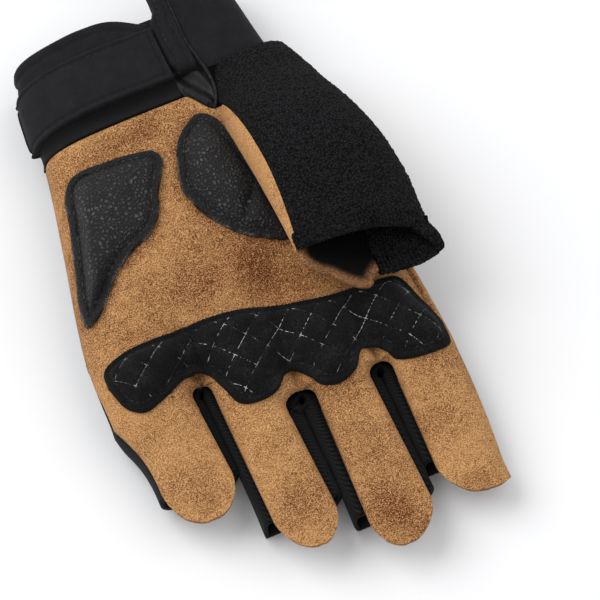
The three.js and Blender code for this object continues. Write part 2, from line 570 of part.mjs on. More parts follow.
// A strip of the cuff cut to an outline, between two offsets from the wrist's surface.
function cuffPiece(outline, inner, outer) {
  const wristPoint = (u, v) => {
    const y = lerp(BACK.right, 56, v);
    const hand = rowAt(HAND, y);
    const x = lerp(hand.left, hand.right, crowd(u));
    return new THREE.Vector3(x, y, palmZ(x, y));
  };
  const around = wall(sheet([{ point: wristPoint, across: 22, along: 13 }]), inner, outer);
  return around.intersect(prism(outline)).simplify(SLIVER);
}

// A round cord along a path over the wrist.
function cord({ path, radius, lift }) {
  const curve = new THREE.CatmullRomCurve3(path.map(([x, y]) => new THREE.Vector3(x, y, palmZ(x, y) + lift)));
  const corner = (k) => new THREE.Vector2(Math.cos((k * Math.PI) / 4), Math.sin((k * Math.PI) / 4)).multiplyScalar(radius);
  const circle = new THREE.Shape(Array.from({ length: 8 }, (_, k) => corner(k)));
  return solid(new THREE.ExtrudeGeometry(circle, { steps: Math.round(path.length * 1.6), extrudePath: curve }));
}

// Assembly

const palm = palmSheet();
const palmGround = under(palm, moved(GAP));
const thumb = thumbBlock(GAP);
const hemY = (angle) => mouthY(angle) + MOUTH_HEM.width;
const terrySheet = (spare, startY, endY, along) =>
  thumbSheet((row) => row.top + spare, (row) => row.end - spare, startY, endY, 12, along);
const terry = terrySheet(0, () => THUMB_ROOT.terry, (angle) => hemY(angle) + GAP, 15);
const hem = wall(terrySheet(0, hemY, mouthY, 3), -TERRY - MOUTH_HEM.under, MOUTH_HEM.over);
const hemRoom = wall(
  terrySheet(0, (angle) => hemY(angle) + 0.7 * GAP, mouthY, 3), -TERRY - MOUTH_HEM.under - GAP, MOUTH_HEM.over + GAP,
);
const terryRoom = wall(
  terrySheet(SEAM_ANGLE, () => THUMB_ROOT.terry, (angle) => mouthY(angle) - 2, 15), -TERRY - 3 * GAP, 3 * GAP,
);
const suede = thumbSheet((row) => 362 + row.end, (row) => row.top - 2, () => THUMB_ROOT.suede, lipY, 12, 12);

const COLOURS = { suede: 0xb98a5e, leather: 0x1d1d1f, knit: 0x202022, terry: 0x18181a, quilt: 0x252528, cord: 0x2b2b2e };
const PIECES = {
  palm_panel: [trimmed(wall(palm, -SUEDE, 0), thumb), COLOURS.suede],
  hand_back: [handBack(), COLOURS.knit],
  fourchette_little_ring: [fourchette(0), COLOURS.knit],
  fourchette_ring_middle: [fourchette(1), COLOURS.knit],
  fourchette_middle_index: [fourchette(2), COLOURS.knit],
  thumb_back: [trimmed(wall(terry, -TERRY, 0), palmGround, hemRoom, hem), COLOURS.terry],
  thumb_hem: [hem, COLOURS.terry],
  thumb_front: [trimmed(wall(suede, -SUEDE, 0), palmGround, terryRoom), COLOURS.suede],
  knuckle_bar: [knuckleBar(KNUCKLE_BAR, palmGround, thumb), COLOURS.quilt],
  heel_pad: [leatherPad(HEEL_PAD, palmGround, thumb), COLOURS.leather],
  thenar_pad: [leatherPad(THENAR_PAD, palmGround, thumb), COLOURS.leather],
  cuff_palm: [cuffPiece(CUFF_PALM, -KNIT, 0), COLOURS.knit],
  cuff_side: [cuffPiece(CUFF_SIDE, -KNIT, 0.3), COLOURS.knit],
  wrist_strap: [cuffPiece(STRAP.outline, GAP, GAP + STRAP.thick), COLOURS.knit],
  vent_hem: [cuffPiece(VENT_HEM.outline, -KNIT, VENT_HEM.proud), COLOURS.knit],
  vent_gusset: [cuffPiece(VENT_GUSSET.outline, -KNIT - VENT_GUSSET.sunk, -VENT_GUSSET.sunk), COLOURS.leather],
  vent_piping: [cord(VENT_PIPING), COLOURS.cord],
  gusset_piping: [cord(GUSSET_PIPING), COLOURS.cord],
};

const glove = new THREE.Group();
for (const [name, [body, colour]] of Object.entries(PIECES)) {
  const mesh = new THREE.Mesh(largest(body), new THREE.MeshStandardMaterial({ color: colour, roughness: 0.9 }));
  mesh.geometry.translate(-ORIGIN.x, -ORIGIN.y, 0);
  mesh.name = name;
  glove.add(mesh);
}

export default glove;
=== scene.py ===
"""Short-finger cycling glove for a left hand, lying palm up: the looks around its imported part.

Sizes are millimetres in the maker's frame, with the glove as it lies: +Y runs from the fingers to
the wrist, +X towards the thumb and +Z out of the palm. FRAME turns them to the row's metres.
"""

from __future__ import annotations

import logging
import math
from dataclasses import dataclass, field
from enum import Enum
from functools import lru_cache
from typing import Callable, Iterable, NamedTuple, Sequence

import bmesh
import bpy
from mathutils import Matrix, Vector, noise
from mathutils.kdtree import KDTree

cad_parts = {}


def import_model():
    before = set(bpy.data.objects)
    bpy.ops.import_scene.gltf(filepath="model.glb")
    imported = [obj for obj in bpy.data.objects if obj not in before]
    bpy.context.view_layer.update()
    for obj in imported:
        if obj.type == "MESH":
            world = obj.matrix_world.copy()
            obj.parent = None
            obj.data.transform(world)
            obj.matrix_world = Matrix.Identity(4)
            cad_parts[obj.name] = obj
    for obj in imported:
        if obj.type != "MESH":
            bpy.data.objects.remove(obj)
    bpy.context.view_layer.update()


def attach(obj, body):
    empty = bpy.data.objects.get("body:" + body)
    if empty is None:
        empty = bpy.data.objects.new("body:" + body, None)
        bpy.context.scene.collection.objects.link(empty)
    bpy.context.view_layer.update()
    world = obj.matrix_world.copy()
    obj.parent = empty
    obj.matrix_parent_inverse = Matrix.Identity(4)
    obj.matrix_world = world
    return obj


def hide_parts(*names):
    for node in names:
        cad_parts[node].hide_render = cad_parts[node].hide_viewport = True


log = logging.getLogger("glove")

MM = 0.001
ORIGIN = Vector((-10.9, 16.0, 0.0))
FRAME = Matrix.Scale(MM, 4) @ Matrix.Translation(-ORIGIN)
ROOT = "root"

Point = Callable[[float, float], Vector]


def clamp(value: float, low: float = 0.0, high: float = 1.0) -> float:
    """The value, kept between low and high."""
    return max(low, min(high, value))


def lerp(start: float, end: float, share: float) -> float:
    """The number at a share of the way from start to end."""
    return start + (end - start) * share


def smoothstep(value: float, low: float, high: float) -> float:
    """A smooth rise from 0 at low to 1 at high."""
    share = clamp((value - low) / (high - low))
    return share * share * (3 - 2 * share)


def bump_at(value: float, width: float) -> float:
    """A bell of height 1 at 0, of about that half width."""
    return math.exp(-((value / width) ** 2))


def crowd(share: float) -> float:
    """A share with its steps crowded towards both ends, where an arch falls steeply."""
    return lerp(share, 0.5 - 0.5 * math.cos(math.pi * share), 0.8)


def linear(colour: str) -> tuple[float, float, float, float]:
    """Turns an sRGB hex colour to linear light.

    Args:
        colour: six hex digits after a hash sign.

    Returns:
        Red, green, blue and alpha in linear light.
    """
    parts = [int(colour[i : i + 2], 16) / 255 for i in (1, 3, 5)]
    lights = [p / 12.92 if p <= 0.04045 else ((p + 0.055) / 1.055) ** 2.4 for p in parts]
    return (*lights, 1.0)


class Side(Enum):
    """The two sides of the hand as it lies."""

    LEFT = "left"
    RIGHT = "right"


class HandRow(NamedTuple):
    """A section of the hand: its edges, the palm's height and the side seams' heights."""

    y: float
    left: float
    right: float
    crown: float
    seam_l: float
    seam_r: float


class ThumbRow(NamedTuple):
    """A section of the thumb. roll lowers its outer side; top and end bound the towelling.

    power is how square the section is, down to a flat almond at the mouth.
    """

    y: float
    left: float
    right: float
    middle: float
    half: float
    roll: float
    top: float
    end: float
    power: float


class Finger(NamedTuple):
    """A leather finger front: edges at the root and the tab, and where its tube stops.

    lean is how much earlier the rounded tab begins on its left side than on its right.
    """

    root_l: float
    root_r: float
    tip_l: float
    tip_r: float
    bow: float
    tip_x: float
    tab_y: float
    reach: float
    lean: float
    end_y: float
    seam_l: float
    seam_r: float
    tip_z: float


class Dent(NamedTuple):
    """A soft hollow or rise of the palm."""

    x: float
    y: float
    rx: float
    ry: float
    lift: float

    def at(self, x: float, y: float) -> float:
        """How much of the dent reaches a point."""
        return self.lift * math.exp(-(((x - self.x) / self.rx) ** 2) - ((y - self.y) / self.ry) ** 2)


def row_at(table: Sequence[NamedTuple], y: float) -> NamedTuple:
    """Interpolates a table of sections by a smooth curve.

    Args:
        table: sections in order of falling y.
        y: where the section is wanted.

    Returns:
        The section at y, of the table's own kind.
    """
    i = 0
    while i < len(table) - 2 and y < table[i + 1].y:
        i += 1
    a, b = table[i], table[i + 1]
    before, after = table[max(i - 1, 0)], table[min(i + 2, len(table) - 1)]
    span = b.y - a.y
    t = clamp((y - a.y) / span)
    weights = (
        2 * t**3 - 3 * t**2 + 1,
        (t**3 - 2 * t**2 + t) * span / (b.y - before.y),
        3 * t**2 - 2 * t**3,
        (t**3 - t**2) * span / (after.y - a.y),
    )
    mixed = (
        weights[0] * q + weights[1] * (r - p) + weights[2] * r + weights[3] * (s - q)
        for p, q, r, s in zip(before, a, b, after)
    )
    return type(a)(*mixed)


def arch(share: float, seam_l: float, crown: float, seam_r: float, power: float) -> float:
    """Height of an arch over a share of its width, between two seams and a crown."""
    seam = seam_l if share < 0.5 else seam_r
    rise = (1 - abs(2 * clamp(share) - 1) ** power) ** (1 / power)
    return seam + (crown - seam) * rise


@dataclass(frozen=True)
class GloveForm:
    """The shape that all the panels share: the hand, its fingers and its thumb."""

    hand: tuple[HandRow, ...] = (
        HandRow(110, -44.5, 20.5, 25.5, 13, 13),
        HandRow(88, -46, 22.5, 26.5, 13, 13),
        HandRow(66, -48.5, 25.5, 26.5, 13, 13),
        HandRow(40, -53.8, 29, 25, 13, 13),
        HandRow(12, -59.8, 31.8, 22.5, 13, 11),
        HandRow(-8, -61.5, 34, 20, 13, 8),
        HandRow(-30, -61, 34.4, 18.5, 12.5, 6),
    )
    fingers: tuple[Finger, ...] = (
        Finger(-61.4, -38.4, -56.9, -36.9, 1.6, -46.8, -37.3, 12, 0, -37.8, 12, 11, 14),
        Finger(-32.8, -16.4, -32.6, -15.4, 0, -23, -56.5, 10.8, 0, -55.3, 11, 11, 14),
        Finger(-7.4, 8.2, -9.4, 8.8, 0, -2, -66, 10.25, -1.5, -63.4, 11, 11, 14),
        Finger(15.1, 34.4, 13.4, 32, 0.6, 26, -63.5, 7.1, 4, -56.5, 11, 5, 13),
    )
    crotches: tuple[tuple[float, float], ...] = ((-34.8, -12.3), (-10.8, -24.7), (11.9, -25.6))
    outer_left_root: float = -15
    outer_right_root: float = -26
    finger_root_z: float = 18.5
    root_seam_z: float = 12.5
    blend: float = 24
    crotch_round: float = 3
    dents: tuple[Dent, ...] = (
        Dent(-24, 60, 20, 8, -1.6),
        Dent(-8, 4, 6, 7, -1.5),
        Dent(16, 26, 12, 16, -1.6),
        Dent(-22, 14, 9, 9, 1),
    )
    thumb: tuple[ThumbRow, ...] = (
        ThumbRow(73, 3.4, 28.2, 18.3, 8.9, 0, 178, -25, 2.5),
        ThumbRow(62, 2.2, 30.8, 22.6, 9.3, -2, 172, -50, 2.5),
        ThumbRow(54, 0.6, 31.8, 27.2, 9.2, -4, 152, -58, 2.5),
        ThumbRow(44, 0.2, 34.3, 31.2, 9.3, -6, 147, -66, 2.5),
        ThumbRow(30, 0.3, 37.4, 33.8, 9.6, -7.5, 149, -70, 2.4),
        ThumbRow(18, -0.2, 39.6, 34, 8.6, -12, 155, -72, 2),
        ThumbRow(6, -1, 40.2, 33.4, 7.4, -16.5, 163, -72, 1.5),
        ThumbRow(-6, -1.4, 40.5, 33.2, 6.7, -18.5, 172, -72, 1.3),
    )
    thumb_root_y: float = 73
    mouth_y: float = 2.3
    mouth_slant: float = -0.06
    mouth_flat_x: float = 32
    mouth_x: float = 20
    mouth_z: float = 33.2
    mouth_rake: tuple[float, float] = (0.03, 1.08)
    lip: tuple[float, float, float] = (172, 288, 8.4)

    def root_row(self, x: float) -> float:
        """Height in plan of the row of finger roots at x."""
        first, last = self.fingers[0].root_l, self.fingers[3].root_r
        stops = [(first, self.outer_left_root), *self.crotches, (last, self.outer_right_root)]
        i = 0
        while i < len(stops) - 2 and x > stops[i + 1][0]:
            i += 1
        (ax, ay), (bx, by) = stops[i], stops[i + 1]
        return lerp(ay, by, clamp((x - ax) / (bx - ax)))

    def crotch_beside(self, j: int, side: Side) -> tuple[float, float] | None:
        """The crotch at a finger's side, or None at the hand's outer edge."""
        k = j - 1 if side is Side.LEFT else j
        return self.crotches[k] if 0 <= k < len(self.crotches) else None

    def finger_edge(self, j: int, side: Side, y: float) -> float:
        """Left or right edge of finger j at y."""
        finger, crotch = self.fingers[j], self.crotch_beside(j, side)
        is_left = side is Side.LEFT
        outer = self.outer_left_root if is_left else self.outer_right_root
        root_y = crotch[1] if crotch else outer
        share = clamp((root_y - y) / (root_y - finger.tab_y))
        ends = (finger.root_l, finger.tip_l) if is_left else (finger.root_r, finger.tip_r)
        edge = lerp(*ends, share)
        if crotch is None:
            return edge + finger.bow * math.sin(math.pi * share)
        depth = clamp((crotch[1] - y) / self.crotch_round)
        return lerp(crotch[0], edge, math.sqrt(1 - (1 - depth) ** 2))

    def outer_edge(self, side: Side, y: float) -> float:
        """Outer edge of the glove at y, along the hand and its outer finger."""
        is_left = side is Side.LEFT
        if y > (self.outer_left_root if is_left else self.outer_right_root):
            row = row_at(self.hand, y)
            return row.left if is_left else row.right
        return self.finger_edge(0 if is_left else 3, side, y)

    def finger_z(self, j: int, x: float, y: float) -> float:
        """Height of a finger's leather at x and y."""
        finger = self.fingers[j]
        held = max(y, finger.tab_y)
        left, right = self.finger_edge(j, Side.LEFT, held), self.finger_edge(j, Side.RIGHT, held)
        along = clamp((y - finger.tab_y) / (self.root_row(finger.tip_x) - finger.tab_y))
        root = row_at(self.hand, self.outer_right_root)
        seam_l = lerp(finger.seam_l, root.seam_l if j == 0 else self.root_seam_z, along)
        seam_r = lerp(finger.seam_r, root.seam_r if j == 3 else self.root_seam_z, along)
        crown = lerp(finger.tip_z, self.finger_root_z, along)
        crown -= 2 * smoothstep(finger.tab_y - y, 0, finger.reach)
        return arch((x - left) / (right - left), seam_l, max(crown, seam_l + 0.5), seam_r, 2.8)

    def palm_z(self, x: float, y: float, j: int | None = None) -> float:
        """Height of the palm leather, and of the cuff in line with it.

        Args:
            x: place across the hand.
            y: place along the hand.
            j: the finger, for a point below the crotches.

        Returns:
            The height of the leather's face.
        """
        hand = row_at(self.hand, y)
        u = (x - hand.left) / (hand.right - hand.left)
        root_y = self.root_row(x)
        fanned = lerp(self.fingers[0].root_l, self.fingers[3].root_r, u)
        root_x = lerp(x, fanned, smoothstep(y - root_y, 0, 12))
        nearest = sum(root_x > crotch[0] for crotch in self.crotches) if j is None else j
        share = smoothstep(root_y + self.blend - y, 0, self.blend)
        if share == 1:
            return self.finger_z(nearest, x, y)
        body = arch(u, hand.seam_l, hand.crown, hand.seam_r, 3)
        seam = clamp(6 * min(u, 1 - u))
        lift = sum(dent.at(x, y) for dent in self.dents)
        finger = self.finger_z(nearest, root_x, min(y, self.root_row(root_x)))
        return lerp(body + seam * lift, finger, share)

    def bridged(self, x: float, y: float) -> float:
        """Height at which a pad lies: on the leather, but over its narrow valleys."""
        return max(self.palm_z(x, y), (self.palm_z(x - 3, y) + self.palm_z(x + 3, y)) / 2)

    def hand_plan(
        self, j: int, u: float, v: float, wrist_y: Callable[[float], float], inset: float = 0
    ) -> tuple[float, float]:
        """Plan of the hand above finger j, from the wrist (v 0) to the finger roots (v 1)."""
        first, last = self.fingers[0].root_l + inset, self.fingers[3].root_r - inset
        xs = [first, *(c[0] for c in self.crotches), last]
        ys = [self.outer_left_root, *(c[1] for c in self.crotches), self.outer_right_root]
        root_x = lerp(xs[j], xs[j + 1], u)
        share = (root_x - first) / (last - first)
        y = lerp(wrist_y(share), lerp(ys[j], ys[j + 1], u), v)
        left = self.outer_edge(Side.LEFT, y) + inset
        right = self.outer_edge(Side.RIGHT, y) - inset
        return lerp(lerp(left, right, share), root_x, smoothstep(v, 0.6, 1)), y

    def finger_plan(
        self, j: int, u: float, v: float, end_y: float, inset: float = 0, lean: float = 0
    ) -> tuple[float, float]:
        """Plan of finger j from its root (v 0) to end_y (v 1)."""
        left, right = self.crotch_beside(j, Side.LEFT), self.crotch_beside(j, Side.RIGHT)
        y_l = lerp(left[1] if left else self.outer_left_root, end_y + lean, v**1.7)
        y_r = lerp(right[1] if right else self.outer_right_root, end_y - lean, v**1.7)
        x_l = self.finger_edge(j, Side.LEFT, y_l) + (inset if left is None else 0)
        x_r = self.finger_edge(j, Side.RIGHT, y_r) - (inset if right is None else 0)
        return lerp(x_l, x_r, u), lerp(y_l, y_r, u)

    def thumb_point(self, y: float, angle: float, grow: float = 0) -> Vector:
        """A point of the thumb's surface at y and an angle in degrees from the +X side."""
        row = self.thumb_row(round(y, 3))
        turn, roll = math.radians(angle), math.radians(row.roll)
        across = ((row.right - row.left) / 2 + grow) * self.bent(math.cos(turn), row.power)
        high = (row.half + grow) * self.bent(math.sin(turn), row.power)
        return Vector((
            (row.left + row.right) / 2 + across * math.cos(roll) - high * math.sin(roll),
            y,
            row.middle + across * math.sin(roll) + high * math.cos(roll),
        ))

    @lru_cache(maxsize=4096)
    def thumb_row(self, y: float) -> ThumbRow:
        """The thumb's section at y."""
        return row_at(self.thumb, y)

    def bent(self, value: float, power: float) -> float:
        """A cosine or sine of a section that is that square."""
        return math.copysign(abs(value) ** (2 / power), value)

    def mouth_at(self, angle: float) -> float:
        """Where the slanting mouth cuts the thumb's surface at an angle."""
        point = self.thumb_point(0, angle)
        rake = self.mouth_rake[0] if point.z > self.mouth_z else self.mouth_rake[1]
        slant = self.mouth_slant * (min(point.x, self.mouth_flat_x) - self.mouth_x)
        return self.mouth_y + slant + rake * (point.z - self.mouth_z)

    def lip_at(self, angle: float) -> float:
        """Where the thumb's leather ends at an angle, on a lip that runs on past the mouth."""
        first, last, reach = self.lip
        return self.mouth_at(angle) - reach * math.sin(math.pi * clamp((angle - first) / (last - first)))

    def in_thumb(self, point: Vector, margin: float) -> bool:
        """Whether a point lies in the filled thumb by more than a margin."""
        if point.y > self.thumb_root_y or point.y < self.mouth_y:
            return False
        row = self.thumb_row(round(point.y, 1))
        across = (point.x - (row.left + row.right) / 2) / ((row.right - row.left) / 2 - margin)
        high = (point.z - row.middle) / (row.half - margin)
        return abs(across) ** row.power + abs(high) ** row.power < 1


FORM = GloveForm()


class Curve:
    """A smooth curve in plan through a few points, read by its share of the length."""

    def __init__(self, points: Sequence[tuple[float, float]], closed: bool = False, steps: int = 40) -> None:
        """Samples the curve.

        Args:
            points: places that the curve runs through.
            closed: whether it returns to its first point.
            steps: samples between two points.
        """
        self.closed = closed
        self.line = [Vector(p) for p in self.sampled([Vector(p) for p in points], steps)]
        self.sums = [0.0]
        for a, b in zip(self.line, self.line[1:]):
            self.sums.append(self.sums[-1] + (b - a).length)
        self.length = self.sums[-1]
        self.tree = KDTree(len(self.line))
        for i, point in enumerate(self.line):
            self.tree.insert((*point, 0), i)
        self.tree.balance()

    def sampled(self, points: list[Vector], steps: int) -> Iterable[Vector]:
        """Points along a centripetal curve through the given ones."""
        count = len(points)
        spans = count if self.closed else count - 1
        for i in range(spans):
            p1, p2 = points[i], points[(i + 1) % count]
            p0 = points[i - 1] if i or self.closed else 2 * p1 - p2
            p3 = points[(i + 2) % count] if i + 2 < count or self.closed else 2 * p2 - p1
            d0, d1, d2 = (math.sqrt((b - a).length) for a, b in ((p0, p1), (p1, p2), (p2, p3)))
            m1 = ((p1 - p0) / d0 - (p2 - p0) / (d0 + d1) + (p2 - p1) / d1) * d1
            m2 = ((p2 - p1) / d1 - (p3 - p1) / (d1 + d2) + (p3 - p2) / d2) * d1
            for k in range(steps):
                t = k / steps
                yield (
                    (2 * t**3 - 3 * t**2 + 1) * p1
                    + (t**3 - 2 * t**2 + t) * m1
                    + (3 * t**2 - 2 * t**3) * p2
                    + (t**3 - t**2) * m2
                )
        yield points[0] if self.closed else points[-1]

    def at(self, share: float) -> Vector:
        """The point at a share of the length."""
        wanted = (share % 1.0 if self.closed else clamp(share)) * self.length
        low, high = 0, len(self.sums) - 1
        while high - low > 1:
            middle = (low + high) // 2
            if self.sums[middle] > wanted:
                high = middle
            else:
                low = middle
        step = self.sums[high] - self.sums[low]
        return self.line[low].lerp(self.line[high], (wanted - self.sums[low]) / max(step, 1e-9))

    def heading(self, share: float) -> Vector:
        """The unit direction of travel at a share of the length."""
        step = 0.5 / self.length
        return (self.at(share + step) - self.at(share - step)).normalized()

    def away(self, x: float, y: float) -> float:
        """How far a point lies from the curve."""
        return self.tree.find((x, y, 0))[2]

    def holds(self, x: float, y: float) -> bool:
        """Whether a point lies inside the closed curve."""
        inside = False
        for a, b in zip(self.line, self.line[1:]):
            if (a.y > y) != (b.y > y) and x < a.x + (y - a.y) * (b.x - a.x) / (b.y - a.y):
                inside = not inside
        return inside


# Materials


MULTIPLY = {"operation": "MULTIPLY"}
MULTIPLY_ADD = {"operation": "MULTIPLY_ADD"}
ADD = {"operation": "ADD"}
SINE = {"operation": "SINE"}
SMOOTH = {"interpolation_type": "SMOOTHSTEP"}
COLOURS = {"data_type": "RGBA"}
SHARE, FIRST, SECOND, MIXED = 0, 6, 7, 2
NOISE_ROUGHNESS = 0.6
SHEEN_ROUGHNESS = 0.45


def add_node(
    tree: bpy.types.NodeTree,
    kind: str,
    settings: dict[str, object] | None = None,
    inputs: dict[str | int, object] | None = None,
) -> bpy.types.Node:
    """Adds a node with its settings and links.

    Args:
        tree: the node tree that gets it.
        kind: Blender's name of the node's type, without its first word, ShaderNode.
        settings: the node's own properties.
        inputs: for each socket, by name or number, an output socket to link or a value.

    Returns:
        The new node.
    """
    node = tree.nodes.new(f"ShaderNode{kind}")
    for name, value in (settings or {}).items():
        setattr(node, name, value)
    for name, value in (inputs or {}).items():
        if isinstance(value, bpy.types.NodeSocket):
            tree.links.new(value, node.inputs[name])
        else:
            node.inputs[name].default_value = value
    return node


class Look(NamedTuple):
    """What a pattern gives the shader: sockets for the colour, the relief's height and the gloss."""

    colour: bpy.types.NodeSocket
    height: bpy.types.NodeSocket
    roughness: bpy.types.NodeSocket | None = None


class Grain(NamedTuple):
    """Grains of a size in millimetres, from a noise whose low value becomes 0 and its high value 1."""

    size: float
    detail: float
    low: float
    high: float


@dataclass(frozen=True)
class Finish:
    """A real material: its name, its slot in the record, its colours and the size of its grain."""

    name: str
    slot: str
    base: str
    shade: str
    grain: float
    relief: float
    roughness: float
    sheen: float = 0.0
    sheen_tint: str = "#ffffff"
    follows_surface: bool = False
    gloss: float = 0.15

    def look(self, tree: bpy.types.NodeTree, place: bpy.types.NodeSocket) -> Look:
        """Builds the pattern. place is in millimetres."""
        raise NotImplementedError

    def grains(
        self, tree: bpy.types.NodeTree, place: bpy.types.NodeSocket, grain: Grain
    ) -> bpy.types.NodeSocket:
        """A pattern of grains with values from 0 to 1."""
        scale = 1 / grain.size
        inputs = {"Vector": place, "Scale": scale, "Detail": grain.detail, "Roughness": NOISE_ROUGHNESS}
        grainy = add_node(tree, "TexNoise", {}, inputs).outputs[0]
        inputs = {"Value": grainy, "From Min": grain.low, "From Max": grain.high}
        return add_node(tree, "MapRange", SMOOTH, inputs).outputs[0]

    def material(self) -> bpy.types.Material:
        """The Blender material, made the first time it is asked for."""
        if self.name in bpy.data.materials:
            return bpy.data.materials[self.name]
        made = bpy.data.materials.new(self.name)
        made.use_nodes = True
        tree = made.node_tree
        tree.nodes.clear()
        coordinates = add_node(tree, "TexCoord")
        place = coordinates.outputs["UV" if self.follows_surface else "Object"]
        if not self.follows_surface:
            scale = add_node(tree, "VectorMath", {"operation": "SCALE"}, {0: place, "Scale": 1 / MM})
            place = scale.outputs[0]
        look = self.look(tree, place)
        bump = add_node(
            tree, "Bump", {}, {"Strength": 1.0, "Distance": self.relief * MM, "Height": look.height}
        )
        shader = add_node(
            tree,
            "BsdfPrincipled",
            {},
            {
                "Base Color": look.colour,
                "Roughness": self.roughness if look.roughness is None else look.roughness,
                "Normal": bump.outputs[0],
                "Specular IOR Level": self.gloss,
                "Sheen Weight": self.sheen,
                "Sheen Roughness": SHEEN_ROUGHNESS,
                "Sheen Tint": linear(self.sheen_tint),
            },
        )
        add_node(tree, "OutputMaterial", {}, {"Surface": shader.outputs[0]})
        made.diffuse_color = linear(self.base)
        return made


@dataclass(frozen=True)
class Suede(Finish):
    """Split leather brushed to a nap: cloudy tone, fine speckle, dull with a soft bloom."""

    speckle: str = "#e2b585"
    hole: str = "#55300f"
    # Colour of painted shadow inside a cavity; empty for none.
    cavity_shadow: str = ""
    clouds: Grain = Grain(17.0, 1.0, 0.36, 0.7)
    mottles: Grain = Grain(2.2, 4.0, 0.3, 0.72)
    cloudiness: float = 0.38
    mottling: float = 0.34

    def look(self, tree: bpy.types.NodeTree, place: bpy.types.NodeSocket) -> Look:
        """Clouds and mottles over a speckle of single fibre tufts."""
        cloud = self.grains(tree, place, self.clouds)
        mottle = self.grains(tree, place, self.mottles)
        tuft = self.grains(tree, place, Grain(self.grain, 2.0, 0.3, 0.7))
        # The vertex mark read here is painted shade, with some wear on the palm: it darkens the suede and
        # deepens the nap's dark gaps there.
        painted_shade_and_wear = add_node(tree, "Attribute", {"attribute_name": "painted_shade_and_wear"}).outputs["Fac"]
        clouded = add_node(tree, "Math", MULTIPLY, {0: cloud, 1: self.cloudiness}).outputs[0]
        tone = add_node(tree, "Math", MULTIPLY_ADD, {0: mottle, 1: self.mottling, 2: clouded}).outputs[0]
        # worn is the random tone plus the painted shade and wear of the mark.
        worn = add_node(tree, "Math", ADD, {0: tone, 1: painted_shade_and_wear}).outputs[0]
        mix = {SHARE: worn, FIRST: linear(self.base), SECOND: linear(self.shade)}
        body = add_node(tree, "Mix", COLOURS, mix).outputs[MIXED]
        span = {"Value": tuft, "From Min": 0.5, "From Max": 0.95}
        tip = add_node(tree, "MapRange", SMOOTH, span).outputs[0]
        fleck = add_node(tree, "Math", MULTIPLY, {0: tip, 1: 0.6}).outputs[0]
        mix = {SHARE: fleck, FIRST: body, SECOND: linear(self.speckle)}
        lit = add_node(tree, "Mix", COLOURS, mix).outputs[MIXED]
        span = {"Value": worn, "From Min": -0.9, "From Max": 0.8}
        rough = add_node(tree, "MapRange", SMOOTH, span).outputs[0]
        span = {"Value": tuft, "From Min": 0.48, "From Max": 0.1}
        gap = add_node(tree, "MapRange", SMOOTH, span).outputs[0]
        hole = add_node(tree, "Math", MULTIPLY, {0: gap, 1: rough}).outputs[0]
        mix = {SHARE: hole, FIRST: lit, SECOND: linear(self.hole)}
        colour = add_node(tree, "Mix", COLOURS, mix).outputs[MIXED]
        # Painted shadow: the lining darkens to near black with depth into the thumb, away from its lip.
        if self.cavity_shadow:
            depth = add_node(tree, "Attribute", {"attribute_name": "depth"}).outputs["Fac"]
            mix = {SHARE: depth, FIRST: colour, SECOND: linear(self.cavity_shadow)}
            colour = add_node(tree, "Mix", COLOURS, mix).outputs[MIXED]
        height = add_node(tree, "Math", MULTIPLY_ADD, {0: mottle, 1: 0.5, 2: tuft}).outputs[0]
        return Look(colour, height)


